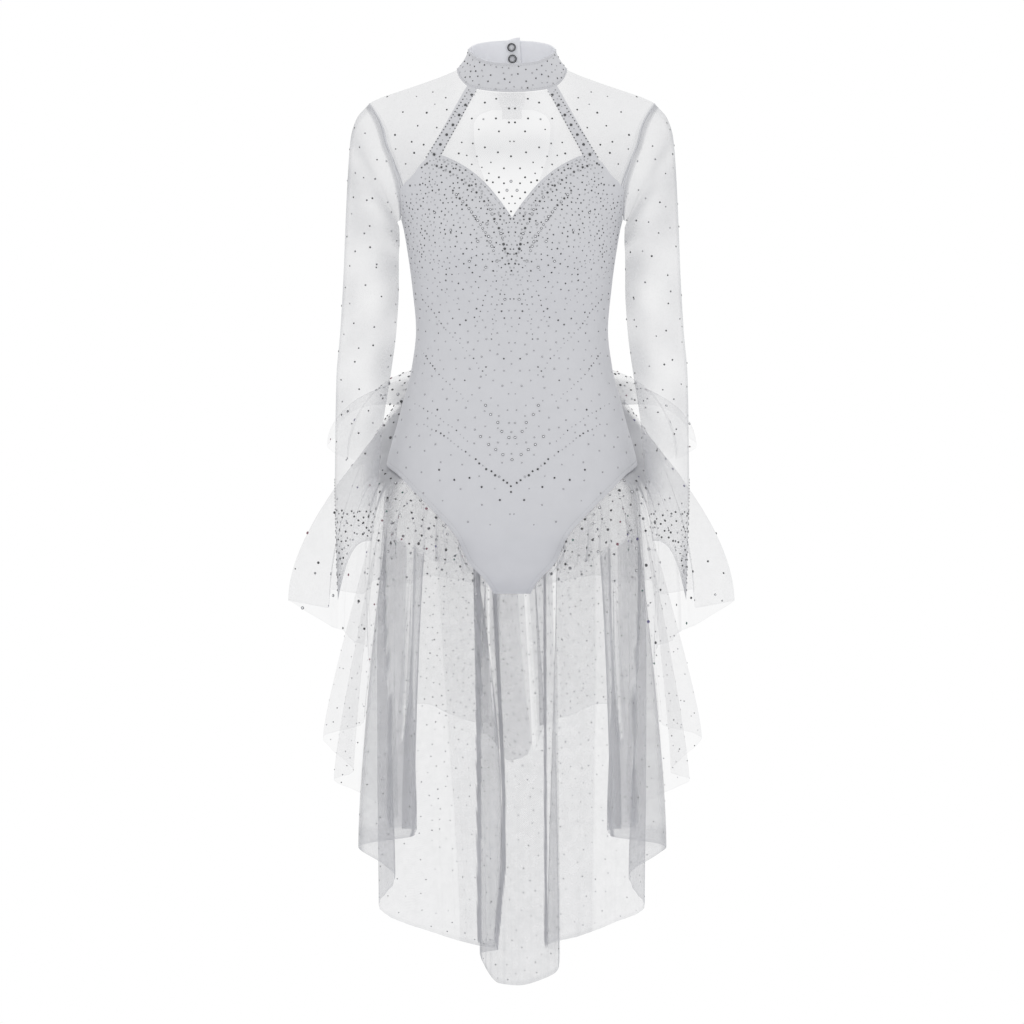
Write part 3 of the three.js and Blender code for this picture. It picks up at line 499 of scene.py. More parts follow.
def sheer(name, colour, cover, pitch=0.0009, grain=0.05):
    """See-through mesh or net, whose threads cover a share of the surface, times a value kept on the mesh,
    which holds how closely the cloth is gathered and, on the sleeves and yoke, painted shade and a painted
    highlight.
    """
    material, tree, shader, place = start_material(name, 30, 3, *colour)
    amount = add(tree, "MapRange", To_Min=cover * 1.22, To_Max=cover * 0.78)
    tree.links.new(weave(tree, pitch, BIAS), amount.inputs["Value"])
    cloud = add(tree, "MapRange", From_Min=0.3, From_Max=0.7, To_Min=1 - grain, To_Max=1 + grain)
    tree.links.new(noise(tree, place, 90, 3), cloud.inputs["Value"])
    # Per-point cover, with painted shade and a painted highlight on the sleeves and yoke
    share = add(tree, "Attribute", attribute_name="gather_and_shade")
    value = amount.outputs["Result"]
    for factor in (cloud.outputs["Result"], share.outputs["Fac"]):
        product = add(tree, "Math", operation="MULTIPLY", use_clamp=True)
        tree.links.new(value, product.inputs[0])
        tree.links.new(factor, product.inputs[1])
        value = product.outputs[0]
    tree.links.new(value, shader.inputs["Alpha"])
    put(shader, Roughness=0.8, Specular_IOR_Level=0.2)
    return material


def metal(name, low, high, roughness, metallic=1.0):
    material, _, shader, _ = start_material(name, 400, 3, low, high, (0.35, 0.65))
    put(shader, Metallic=metallic, Roughness=roughness)
    return material


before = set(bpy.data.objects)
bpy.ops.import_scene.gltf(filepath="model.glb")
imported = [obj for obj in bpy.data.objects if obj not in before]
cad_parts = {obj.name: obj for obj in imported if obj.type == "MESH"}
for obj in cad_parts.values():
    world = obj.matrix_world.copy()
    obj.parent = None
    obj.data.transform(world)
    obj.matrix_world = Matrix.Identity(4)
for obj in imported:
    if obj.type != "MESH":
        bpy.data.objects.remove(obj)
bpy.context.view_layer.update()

CLOTH_STRETCH = stretch("leotard_knit", grey(0.605), grey(0.625))
# The collar's inside is the same knit, made paler as painted light to lift the shade inside the collar
CLOTH_COLLAR_PAINTED_LIGHT = stretch("collar_inside_knit_painted_light", grey(0.85), grey(0.88))
CLOTH_MESH = sheer("sheer_mesh_cloth", (grey(0.49), grey(0.55)), 0.20)
CLOTH_NET = sheer("skirt_net_cloth", (grey(0.44), grey(0.52)), 0.20, pitch=0.0011, grain=0.10)
# A pale lining sheet inside the brief: painted light that lifts the shade inside the seat
LINING_PAINTED_LIGHT = stretch("seat_lining_painted_light", grey(0.86), grey(0.90))
THREAD = stretch("stitch_thread", grey(0.44), grey(0.50), pitch=0.0006)
SNAP = metal("snap_steel", grey(0.10), grey(0.16), 0.3)


# Bodice, brief and yokes

def bodice_top():
    clock = armhole_clock(BODICE_TOP_START)
    armhole = [armhole_at(mix(180, clock, i / 3), False) for i in range(4)]
    return np.array(armhole + [at_x(x, drop) for x, drop in BODICE_TOP])


def leg_shapes(rows, centre, top):
    """The patch from a top edge down to the leg line and the gusset's edge, and the gusset."""
    share = GUSSET_SHARE
    last = len(rows["step"]) - 1

    def leg(start, end):
        return lambda t: at_step(rows, mix(start, end, np.asarray(t, float)))
    middle = np.array([centre, GUSSET_DROP], float)
    crotch = np.array([centre, CROTCH_DROP], float)
    corner = leg(0, last)(GUSSET_STEP / last)

    def low(u):
        u = np.asarray(u, float)
        edge = leg(0, GUSSET_STEP)(np.minimum(u / share, 1))
        inner = line(corner, middle)(np.maximum((u - share) / (1 - share), 0))
        return np.where((u < share)[..., None], edge, inner)
    high_ends, low_ends = top(ENDS), low(ENDS)
    upper = patch(top, low, line(high_ends[0], low_ends[0]), line(high_ends[1], middle))
    low_end = line(leg(0, last)(1), crotch)
    gusset = patch(line(corner, middle), low_end, leg(GUSSET_STEP, last), line(middle, crotch))
    return upper, gusset


def bodice_front():
    points = bodice_top()
    top = through(points)
    shape, gusset = leg_shapes(LEG_LINE, 0, top)

    def strap(u, v):
        root = top(mix(*STRAP_ROOT, u) / (len(points) - 1))
        root_x = body(root[:, 0], root[:, 1])[:, 0]
        (outer_x, outer_drop), (inner_x, inner_drop) = STRAP_TOP
        high_x, high_drop = mix(outer_x, inner_x, u), mix(outer_drop, inner_drop, u)
        v = v[None]
        return at_x(mix(high_x[:, None], root_x[:, None], v), mix(high_drop[:, None], root[:, 1:2], v))
    u, v = steps(112), steps(100, 1.1)
    rise = np.broadcast_to(mix(LAYER["strap"], LAYER["bodice"], smoothstep(steps(60), 0.85, 1)), (25, 61))
    grids = []
    for mirror in (False, True):
        grids.append(on_body(flip(shape(u, v), mirror), LAYER["bodice"], FRONT))
        grids.append(on_body(flip(gusset(steps(24), steps(30)), mirror), LAYER["bodice"], FRONT))
        grids.append(on_body(flip(strap(steps(24), steps(60)), mirror), rise, FRONT))
    return grids


def yoke_front():
    bottom = bodice_top()[3:]
    columns = len(bottom) - 1
    shoulder = 5
    bottom[:, 1] -= SEAM_GAP
    clock = armhole_clock(bottom[0, 1])
    bottom[0] = armhole_at(clock, False)

    def top(u):
        at = np.asarray(u, float) * columns
        drop = mix(ARMHOLE_TOP, 0, np.minimum(at / shoulder, 1))
        shoulder_line = np.stack([np.full_like(at, 90), drop], -1)
        neck = neck_at(mix(90, 0, np.clip((at - shoulder) / (columns - shoulder), 0, 1)))
        return np.where((at < shoulder)[..., None], shoulder_line, neck)
    low = through(bottom)
    shape = patch(top, low, armhole_edge(0, clock, False), line(top(ENDS)[1], low(ENDS)[1]))
    place = shape(steps(110), steps(90, 1.2))
    return [on_body(flip(place, mirror), LAYER["yoke"], FRONT) for mirror in (False, True)]


def yoke_back(mirror, step):
    upper_x = [None, -150, -120, -92, -68, -46, -KEYHOLE_LOBE, -OVERLAP_HALF, 0, OVERLAP_HALF]
    clock = armhole_clock(KEYHOLE_TOP)
    top, middle = [], []
    for i, x in enumerate(upper_x):
        if i <= 4:
            top.append((90, mix(ARMHOLE_TOP, 0, i / 4)))
        else:
            top.append(at_x(mix(-NECK_WIDTH / 2, upper_x[6], (i - 4) / 2) if i < 6 else x, 0, True))
        middle.append(armhole_at(clock, True) if x is None else at_x(x, KEYHOLE_TOP, True))
    top, middle = np.array(top, float), np.array(middle, float)

    def straight(points):
        def edge(t):
            at = np.clip(np.asarray(t, float) * (len(points) - 1), 0, len(points) - 1 - 1e-9)
            i = at.astype(int)
            return mix(points[i], points[np.minimum(i + 1, len(points) - 1)], (at - i)[..., None])
        return edge
    upper = patch(straight(top), straight(middle), armhole_edge(0, clock, True), line(top[9], middle[9]))
    low = armhole_edge(clock, armhole_clock(ARMPIT_DROP - SEAM_GAP), True)

    def keyhole(v):
        at = np.asarray(v, float) * (len(KEYHOLE["step"]) - 1)
        return at_x(read(KEYHOLE, "step", "x", at), read(KEYHOLE, "step", "drop", at), True)
    lower = patch(straight(middle[:7]), line(low(1.0), keyhole(1.0)), low, keyhole)
    end = np.array([at_x(x, TONGUE_END, True) for x in (-OVERLAP_HALF, 0, OVERLAP_HALF)])
    tongue = patch(straight(middle[7:]), straight(end), line(middle[7], end[0]), line(middle[9], end[2]))
    grids = []
    for shape, columns, rows in ((upper, 90, 24), (lower, 60, 90), (tongue, 20, 8)):
        place = shape(steps(columns), steps(rows))
        out = LAYER["yoke"] + step * smoothstep(24 - np.abs(place[..., 0] - 180), 0, 10)
        grids.append(on_body(flip(place, mirror, True), out, BEHIND))
    return grids


def bodice_back():
    u, v = steps(150), steps(90)
    turn = 90 + 180 * u
    top = ARMPIT_DROP + 19 * (1 - np.abs(turn - 180) / 90)
    drop = mix(top[:, None], seam_drop(turn)[:, None], v[None])
    place = np.stack(np.broadcast_arrays(turn[:, None], drop), -1)
    return on_body(place, LAYER["bodice"], BEHIND)


def brief_back():
    def top(u):
        turn = mix(90, 180, np.asarray(u, float))
        return np.stack([turn, seam_drop(turn) + TIER_GAP], -1)
    shape, gusset = leg_shapes(BRIEF_LEG, 180, top)
    grids = []
    for mirror in (False, True):
        for part, u, v in ((shape, steps(84), steps(60)), (gusset, steps(18), steps(24))):
            place = part(u, v)
            rise = smoothstep(place[..., 1], 600, CROTCH_DROP - 10)
            out = mix(LAYER["brief"], LAYER["bodice"], rise)
            grids.append(on_body(flip(place, mirror, True), out, BEHIND))
    return grids


# Collar

def collar_point(turn, v):
    half = np.where(turn > 180, 360 - turn, np.abs(turn))
    sign = np.where((turn > 180) | (turn < 0), -1, 1)
    place = neck_at(half)
    low = body(place[..., 0], place[..., 1]) + np.array([0, 0, COLLAR_LIFT])
    high = np.stack([read(COLLAR_TOP, "turn", axis, half) for axis in "xyz"], -1)
    v = np.asarray(v, float)[None, :, None]
    point = mix(high[:, None], low[:, None], v ** COLLAR_HOLLOW)
    point[..., 2] = mix(high[:, None, 2], low[:, None, 2], v[..., 0])
    point[..., 0] *= sign[:, None]
    return point


def collar_piece(start, end, columns, step=0.0):
    turn = mix(start, end, steps(columns))
    v = steps(28)
    points = collar_point(turn, v)
    near = smoothstep(30 - np.abs(turn - 180), 0, 18)
    corner = smoothstep(turn, 172, 190) if step < 0 else np.zeros_like(turn)
    points[..., 1] += (step * near)[:, None]
    points[..., 2] += COLLAR_RAISED_CORNER * corner[:, None] * (1 - v)[None]
    return points


# Sleeves

SLEEVE_GRID = (96, 150)


def armhole_loop(clock):
    edge = np.where((clock <= 180)[:, None], armhole_at(clock, True), armhole_at(360 - clock, False))
    return body(edge[:, 0], edge[:, 1])


def sleeve(sign):
    sides, rows = SLEEVE_GRID
    clock = 360 * steps(sides)
    cos, sin = np.cos(np.radians(clock)), np.sin(np.radians(clock))
    start = armhole_loop(clock)
    start[:, 0] -= mix(*SLEEVE_LIFT, ((1 - cos) / 2) ** 2)
    rings = [start]
    for x, z, out_x, out_z, depth, y in SLEEVE:
        rings.append(np.stack([x + out_x * cos, y + depth * sin, z + out_z * cos], -1))
    end = SLEEVE_END
    tip = end["point"] * ((1 + cos) / 2) ** 3
    rings.append(np.stack([end["x"] - end["half"] * cos, end["y"] + end["depth"] * sin, end["z"] - tip], -1))
    rings = np.stack(rings, 1)
    at = np.arange(rings.shape[1], dtype=float)
    where = np.linspace(0, rings.shape[1] - 1, rows + 1)
    points = np.empty((sides + 1, rows + 1, 3))
    for axis in range(3):
        for i in range(sides + 1):
            points[i, :, axis] = read({"k": at, "v": rings[i, :, axis]}, "k", "v", where)
    points[..., 0] *= sign
    return points


def sleeve_gather_and_shade():
    """Thinner along the outer middle of the arm, a painted highlight; closer inside it towards the body and
    in soft creases, painted shade; closer near the armhole, along the outer edge and at the wrist.
    """
    c = np.cos(np.radians(360 * steps(SLEEVE_GRID[0])))[:, None]
    v = steps(SLEEVE_GRID[1])[None]
    # Painted shade on the inner side of the arm, towards the body
    inner = 0.72 * smoothstep(-c, 0, 0.85) * (1 - smoothstep(v, 0.84, 0.93))
    inner = inner * mix(0.55, 1, smoothstep(v, 0.3, 0.5))
    outer = 0.1 * smoothstep(v, 0.1, 0.3) * smoothstep(c, 0.2, 0.8) + 0.55 * smoothstep(c, 0.86, 1)
    share = (0.79 + inner + outer) * (1 + 0.5 * smoothstep(v, 0.04, 0.16) * (1 - smoothstep(v, 0.25, 0.5)))
    # Painted shade in soft creases
    creases = 0.13 * np.sin(34 * v + 2.4 * c + 1.3) + 0.09 * np.sin(61 * v - 3.3 * c)
    share = share * (1 + creases * smoothstep(v, 0.08, 0.2) * (1 - smoothstep(v, 0.8, 0.9)))
    share = share * (1 + 2.2 * (1 - smoothstep(v, 0.012, 0.028)))
    share = share + 1.3 * smoothstep(v, 0.935, 0.97) * smoothstep(c, 0.55, 0.95)
    return share * np.where(v > 0.992, 1.5, 1)


def yoke_gather_and_shade(points, edge, front):
    """The yoke's cover: open at the shoulders and the keyhole, closer towards the armholes and at edges, and
    on the front two soft darker spots at the centre that are painted shade.
    """
    x, drop = np.abs(points[..., 0]), -points[..., 2]
    share = 0.78 + 0.55 * smoothstep(drop, 60, 150) * smoothstep(x, 60, 130)
    if front:
        # Painted shade: two soft darker spots at the centre front
        share += 1.1 * np.exp(-((drop - 105) / 26) ** 2) * (1 - smoothstep(x, 35, 85))
        share += 1.0 * np.exp(-((drop - 42) ** 2 + x ** 2) / 24 ** 2)
    else:
        share *= mix(0.55, 1, smoothstep(x, 50, 90))
    return share * (1 + 0.9 * edge)


# Skirt

def clear_of_hips(points, distance):
    drop = np.minimum(-points[..., 2], CROTCH_DROP)
    half = read(TORSO, "drop", "half", np.maximum(drop, 0)) + distance
    front = read(TORSO, "drop", "front", np.maximum(drop, 0))
    back = read(TORSO, "drop", "back", np.maximum(drop, 0))
    depth = np.where(points[..., 1] < 0, front, back) + distance
    share = np.hypot(points[..., 0] / half, points[..., 1] / depth)
    push = np.where((share < 1) & (drop <= HIPS_END), 1 / np.maximum(share, 0.05), 1)
    out = points.copy()
    out[..., 0] *= push
    out[..., 1] *= push
    return out


def tier(hem, shape, lines=(), rows=44, per_fold=14):
    """Points of a tier, the turn of each column, and how far down each row lies, from 0 to 1."""
    hem = table("turn x y z", hem)
    ends = list(zip(hem["turn"][:-1], hem["turn"][1:]))
    turns = [np.linspace(a, b, max(per_fold, math.ceil((b - a) / 1.2)) + 1) for a, b in ends]
    turns += [at + width * np.linspace(-2, 2, 9) for at, width, more in lines]
    turns = np.unique(np.round(np.clip(np.concatenate(turns), hem["turn"][0], hem["turn"][-1]), 2))
    low = np.stack([read(hem, "turn", axis, turns) for axis in "xyz"], -1)
    drop = seam_drop(turns) + TIER_GAP
    n = normal(turns, drop)
    high = body(turns, drop) + n * shape["layer"]
    length = np.linalg.norm(low - high, axis=-1)[:, None]
    leave = high + n * shape["out"] * length - np.array([0, 0, 1]) * shape["down"] * length
    arrive = low + np.array([0, 0, 1]) * shape["hang"] * length
    down = np.append(np.linspace(0, 0.985, rows), [0.9935, 1.0])
    t = down[None, :, None]
    a, b, c, d = high[:, None], leave[:, None], arrive[:, None], low[:, None]
    points = (1 - t) ** 3 * a + 3 * (1 - t) ** 2 * t * b + 3 * (1 - t) * t ** 2 * c + t ** 3 * d
    clear = mix(shape["layer"], shape["clear"], np.minimum(1, 3 * down))[None]
    points = clear_of_hips(points, clear)
    soft = np.sin(turns * 1.9)[:, None] * np.sin(down * 5 + 0.4)[None]
    soft = soft + 0.6 * np.sin(turns * 0.83 + 1)[:, None]
    swell = smoothstep(down, 0.08, 0.5)[None]
    return points + unit(points * LEVEL) * (0.8 * soft * swell)[..., None], turns, down


def drawn_fold(rows, soft, height, across, mirrored):
    """1 inside a fold drawn on the layout grid, on the left half where it is mirrored, and 0 outside."""
    row, left, right = np.array(rows[::-1], float).T
    z = (ORIGIN_ROW - row) * PIXEL
    sides = ((CENTRE_COLUMN - side) * PIXEL for side in (right, left))
    if not mirrored:
        sides = ((side - CENTRE_COLUMN) * PIXEL for side in (left, right))
    near, far = (np.interp(height, z, side) for side in sides)
    at = np.abs(across) if mirrored else across
    inside = smoothstep(at, near - soft, near + soft) * (1 - smoothstep(at, far - soft, far + soft))
    return inside * (height > z[0]) * (height < z[-1] + FOLD_TOP)


def gather_of(points, turns, down, level, bands=(), lines=(), seams=(), shade=1.0):
    """How closely the net is gathered: more on the flanks of folds, in bands of turns (from, to, share),
    at fold edges (turn, width, share) and near the seam (from, to, share, reach).
    A tier under the flounce has the drawn folds, and the shade is its share behind the flounce, in front."""
    n = unit(np.cross(np.gradient(points, axis=0), np.gradient(points, axis=1)))
    radial = unit(points * np.array([0.55, 1, 0]))
    facing = np.maximum(np.abs(np.sum(n * radial, -1)), np.abs(n[..., 1]))
    share = level / np.clip(facing, 0.3, 1) ** 0.8
    start_down = smoothstep(down, 0.02, 0.12)[None]

    def within(start, end, soft):
        after, past = smoothstep(turns, start - soft, start + soft), smoothstep(turns, end - soft, end + soft)
        return (after * (1 - past))[:, None]
    for start, end, more in bands:
        share = share * (1 + (more - 1) * within(start, end, 0.6) * start_down)
    for at, width, more in lines:
        share = share * (1 + (more - 1) * np.exp(-((turns - at) / width) ** 2)[:, None] * start_down)
    for start, end, more, reach in seams:
        share = share * (1 + more * within(start, end, 6) * np.exp(-(down / reach) ** 2)[None])
    if shade < 1:
        across, height = points[..., 0], points[..., 2]
        in_front, in_tail = 1 - within(80, 280, 3), within(140, 215, 1)
        for folds, span, mirrored in ((FRONT_FOLDS, in_front, True), (TAIL_FOLDS, in_tail, False)):
            for more, soft, rows in folds:
                share = share * (1 + (more - 1) * drawn_fold(rows, soft, height, across, mirrored) * span)
        hem_x, hem_z = np.array(sorted((-x, z) for turn, x, y, z in FLOUNCE_HEM[:8])).T
        behind = smoothstep(height - np.interp(np.abs(across), hem_x, hem_z), -1.5, 1.5)
        share = share * (1 + (shade - 1) * (1 - within(66, 294, 7)) * behind)
    return share * np.where(down > 0.99, 1.25, 1)[None]


def both_ways(rows):
    """Rows for the left half that start with a turn or a from and to, and the same for the right half."""
    turned = []
    for first, second, *rest in rows:
        turned.append((360 - second, 360 - first, *rest) if second > first else (360 - first, second, *rest))
    return rows + turned


def whole(rows):
    return rows + mirror_rows(rows[:-1])


# Folds seen from the front: share, softness in mm, and rows of height and two edges on the layout grid
FRONT_FOLDS = [
    (1.15, 1.0, [
        (500, 384, 407), (620, 385, 405), (700, 390, 403), (760, 391, 401), (790, 389, 401), (828, 389, 397),
    ]),
    (2.8, 0.6, [
        (540, 383.6, 385.2), (620, 384.5, 386.1), (700, 389, 390.8), (760, 390, 391.8), (826, 388.5, 390.5),
    ]),
    (0.45, 1.0, [(500, 407.5, 415), (620, 406, 412.5), (680, 404.5, 410), (742, 402, 404)]),
    (1.15, 1.0, [(500, 415.5, 428), (620, 413, 426), (700, 411, 422), (760, 402, 421), (828, 397, 414)]),
    (2.3, 0.6, [(540, 414.5, 416.5), (620, 412.5, 414.5), (700, 410, 412), (745, 403, 405)]),
    (2.9, 0.6, [(540, 427.5, 430), (620, 425.5, 428), (700, 421.5, 424), (800, 416, 418), (900, 403, 405)]),
    (0.78, 1.2, [(620, 330, 384), (700, 330, 389), (828, 330, 388)]),
]
TAIL_FOLDS = [
    (3.8, 0.6, [(580, 476.8, 479.8), (945, 477.3, 480.3)]),
    (3.8, 0.6, [(580, 492, 495.5), (700, 498, 501), (800, 502, 505.5), (870, 501, 505), (945, 494, 498)]),
    (0.72, 1.0, [(700, 480, 499), (800, 480, 503), (870, 480, 502), (945, 480, 497)]),
    (0.45, 0.7, [(580, 485, 490), (640, 487.3, 489.5), (722, 493.5, 494.5)]),
    (0.75, 1.0, [
        (580, 516.8, 526.8), (620, 519.5, 528), (660, 522, 530), (712, 527.5, 533.5), (747, 533, 536),
    ]),
    (3.0, 0.6, [(580, 543.8, 546), (945, 545, 547.5)]),
]
PLEATS = both_ways([(78, 130, 0.7)])
PLEAT_LINES = both_ways([(41.4, 0.4, 2.4), (71, 0.6, 1.5), (78, 0.6, 1.7)])
RUFFLE_LINES = both_ways([
    (24.5, 0.4, 3.2), (31, 0.4, 2.8), (35, 0.4, 3.2), (42, 0.45, 3.0), (53, 0.5, 2.8), (61, 0.7, 2.4),
    (66, 0.6, 2.6), (73, 0.8, 2.4), (86, 0.8, 2.0),
])
PEPLUM_SEAMS = both_ways([(98, 116, 9.0, 0.2), (116, 179, 2.0, 0.08)])
FLOUNCE_SEAMS = both_ways([(62, 106, 7.0, 0.22), (106, 179, 2.0, 0.08), (12, 84, 0.5, 0.08)])
TIER_PIECES = {
    "peplum_back": (whole(PEPLUM_HEM), "peplum", 26, dict(level=0.27, seams=PEPLUM_SEAMS)),
    "flounce_short": (whole(FLOUNCE_HEM), "flounce", 34, dict(
        level=0.5, seams=FLOUNCE_SEAMS, lines=RUFFLE_LINES,
    )),
    "skirt_mid_left": (MIDDLE_SIDE + MIDDLE_LEFT_BACK, "middle", 46, dict(
        level=0.54, shade=0.12, bands=PLEATS + [(171, 182, 2.4)],
        lines=PLEAT_LINES + [(162, 0.5, 2.4), (167, 0.4, 1.6), (171, 0.5, 2.4), (174, 0.5, 2.2)],
    )),
    "skirt_mid_right": (MIDDLE_RIGHT_BACK + mirror_rows(MIDDLE_SIDE), "middle", 46, dict(
        level=0.54, shade=0.12, bands=PLEATS + [(183, 193, 1.6)],
        lines=PLEAT_LINES + [(186, 0.5, 2.2), (189, 0.4, 2.2)],
    )),
    "skirt_long": (LONG_SIDE + LONG_TAIL + mirror_rows(LONG_SIDE), "long", 54, dict(
        level=1.66, shade=0.12, bands=PLEATS + [(158, 199, 1.05), (199.5, 207, 0.3)],
        lines=PLEAT_LINES + [(152, 0.9, 2.0), (158, 0.6, 1.8), (161, 0.4, 1.4), (207, 0.5, 1.8)],
    )),
}
# The long tier's fold that swings inwards: turn, width in degrees and reach in mm
INNER_FOLD = (152, 2.6, 17)


# Making the pieces


def piece(obj, slot, node=None, cut=None):
    """Attaches a piece to the root, in place of a node where it has one, which it hides; its flat cut is not
    used.
    """
    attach(obj, "root")
    if node:
        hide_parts(node)


def camera():
    data = bpy.data.cameras.new("camera")
    distance = 20.0
    data.sensor_width = 36
    data.lens = data.sensor_width * distance / VIEW_WIDTH
    data.clip_end = 100
    obj = bpy.data.objects.new("camera", data)
    obj.location = (0, -distance, VIEW_MIDDLE)
    obj.rotation_euler = (math.pi / 2, 0, 0)
    bpy.context.scene.collection.objects.link(obj)
    bpy.context.scene.camera = obj


def bodice_and_yokes():
    front = build("bodice_front_cloth", bodice_front(), CLOTH_STRETCH)
    piece(front, "leotard_stretch", "bodice_front", "bodice_front")
    halves = yoke_front()
    edge = (1 - smoothstep(steps(110), 0.015, 0.03))[:, None]
    # The front yoke's cover holds painted shade at the centre
    cover = [yoke_gather_and_shade(half, edge, True) for half in halves]
    mesh = build("yoke_front_mesh", halves, CLOTH_MESH, gather_and_shade=cover)
    piece(mesh, "sheer_mesh", "yoke_front", "yoke_front")
    for name, mirror in (("yoke_back_left", False), ("yoke_back_right", True)):
        grids = yoke_back(mirror, PLACKET_STEP if mirror else -PLACKET_STEP)
        edges = [0, 0.35 * smoothstep(steps(60), 0.9, 0.97)[:, None], 0]
        cover = [yoke_gather_and_shade(grid, edge, False) for grid, edge in zip(grids, edges)]
        piece(build(name + "_mesh", grids, CLOTH_MESH, gather_and_shade=cover), "sheer_mesh", name, "yoke_back")
    back = build("bodice_back_cloth", [bodice_back()], CLOTH_STRETCH)
    piece(back, "leotard_stretch", "bodice_back", "bodice_back")


def collar():
    lap = 180 + math.degrees(math.asin(OVERLAP_HALF / (NECK_WIDTH / 2)))
    start = COLLAR_FRONT_TURN + COLLAR_SIDE_GAP
    front = collar_piece(-COLLAR_FRONT_TURN, COLLAR_FRONT_TURN, 120)
    # The back pieces take the paler knit, painted light over the shade inside the collar
    inside = (CLOTH_COLLAR_PAINTED_LIGHT, "collar_band", "collar_back")
    for name, points, (cloth, slot, cut) in (
        ("collar_front", front, (CLOTH_STRETCH, "leotard_stretch", "collar_front")),
        ("collar_back_left", collar_piece(start, lap, 60, -OVERLAP_STEP), inside),
        ("collar_back_right", collar_piece(360 - start, 360 - lap, 60, OVERLAP_STEP), inside),
    ):
        band = build(name + "_band", [points], cloth)
        mod = band.modifiers.new("cloth", "SOLIDIFY")
        mod.thickness = BAND_CLOTH * MM
        mod.offset = -1
        piece(band, slot, name, cut)
    return front


def skirt():
    tiers = {}
    for name, (hem, shape, rows, look) in TIER_PIECES.items():
        points, turns, down = tier(hem, TIERS[shape], look.get("lines", ()), rows)
        if shape == "long":
            turn, width, reach = INNER_FOLD
            swing = np.sin(np.pi * np.clip((down - 0.3) / 0.62, 0, 1))[None]
            points[..., 0] += reach * np.exp(-((turns - turn) / width) ** 2)[:, None] * swing
        tiers[name] = points
        net = build(name + "_net", [points], CLOTH_NET, gather_and_shade=[gather_of(points, turns, down, **look)])
        piece(net, "skirt_net", name, name)
    return tiers


camera()
bodice_and_yokes()
brief = brief_back()
piece(build("brief_back_cloth", brief, CLOTH_STRETCH), "leotard_stretch", "brief_back", "brief_back")
collar_front = collar()
sleeves = {1: sleeve(1), -1: sleeve(-1)}
for sign, name in ((1, "sleeve_left"), (-1, "sleeve_right")):
    middle = np.array([-190 * sign, -20, -300])
    # The sleeves' cover holds painted shade on the inner side and in creases, and a painted highlight along
    # the middle
    net = build(name + "_mesh", [sleeves[sign]], CLOTH_MESH, middle, [sleeve_gather_and_shade()])
    piece(net, "sheer_mesh", name, "sleeve")
tiers = skirt()
# The pale lining sheet inside the brief back, painted light over the seat's shade
lining = [g - unit(g * LEVEL) * LINING_GAP + np.array([0, 0, LINING_GAP * 0.6]) for g in brief]
piece(build("seat_lining_painted_light", lining, LINING_PAINTED_LIGHT), "leotard_stretch", cut="seat_lining_painted_light")


# Snap rings

def snap(name, x, z, way):
    """A ring on the overlap at the centre back, outside with way 1 and inside with way -1."""
    rise = (COLLAR_BACK_TOP - z) / (COLLAR_BACK_TOP - COLLAR_LIFT)
    face = collar_point(np.array([180.0]), [rise])[0, 0, 1]
    face += OVERLAP_STEP if way > 0 else -OVERLAP_STEP - COLLAR_CLOTH
    centre = np.array([x, face + way * SNAP_OUT, z])
    arc = np.radians(np.linspace(0, 360, 17))[None]
    clock = np.radians(360 * steps(48))[:, None]
    lean = np.radians(4.3)
    grids = []
    for radius, width, offset, height in ((4.9, 0.78, 0, 0.8), (3.55, 0.25, way * 0.35, 0.3)):
        r, h = radius + width * np.cos(arc), offset + height * np.sin(arc)
        across, deep, up = r * np.cos(clock), h * np.ones_like(clock), r * np.sin(clock)
        deep, up = deep * np.cos(lean) - up * np.sin(lean), deep * np.sin(lean) + up * np.cos(lean)
        grids.append(np.stack([across, deep, up], -1) + centre)
    piece(build(name + "_ring", grids, SNAP, centre), "snap_metal", name)


for height, x, z in (("upper", -0.6, 30.5), ("lower", 0.6, 15.6)):
    snap("snap_" + height + "_inner", x, z, -1)
    snap("snap_" + height + "_outer", x, z, 1)


# Places on the front

def on_grid(places):
    """Front view, from the layout grid to mm."""
    return [((x - CENTRE_COLUMN) * PIXEL, (ORIGIN_ROW - y) * PIXEL) for x, y in places]


def top_edge(x):
    rows = np.array(sorted((abs(a), b) for a, b in BODICE_TOP)).T
    return np.interp(np.abs(x), *rows)


def strap_lines(drop):
    t = (drop - STRAP_HIGH) / (STRAP_LOW - STRAP_HIGH)
    return mix(45, 91, t), mix(58, 112, t)


def front_layer(x, drop):
    inner, outer = strap_lines(drop)
    x = np.abs(x)
    on_strap = (drop > STRAP_HIGH + 2) & (drop < STRAP_LOW - 2) & (x > inner - 0.5) & (x < outer + 0.5)
    return np.where(on_strap, LAYER["strap"], np.where(drop > top_edge(x), LAYER["bodice"], LAYER["yoke"]))


def on_front(x, z):
    place = at_x(x, -z)
    return on_body(place, front_layer(x, -z), FRONT), normal(place[..., 0], place[..., 1])


def sample(path, at):
    """Rows of a path, whose first columns are its points, at distances along it."""
    gone = lengths(path[:, :3], 0)
    return np.stack([np.interp(at, gone, column) for column in path.T], -1)


def lay(corners, ahead, side, up):
    """Corners of a small shape, turned to lie along three directions."""
    return corners @ np.stack([ahead, side, up])


# Rolled edges and stitches

def beside(points, n):
    """The way along the cloth on the upper side of a path that runs down to the centre."""
    return unit(np.cross(n, unit(np.gradient(points, axis=0))))


def leg_path(inset):
    place = at_step(LEG_LINE, np.linspace(0.15, len(LEG_LINE["step"]) - 1.02, 160))
    n = normal(place[:, 0], place[:, 1])
    points = on_body(place, LAYER["bodice"] + 0.1, FRONT)
    return points + beside(points, n) * inset, n


def edge_path(inset):
    """Along the sweetheart edge, from the strap to the centre."""
    x = np.linspace(-88, -1.5, 110)
    points, n = on_front(x, -(top_edge(x) + 0.5))
    return points - beside(points, n) * inset, n


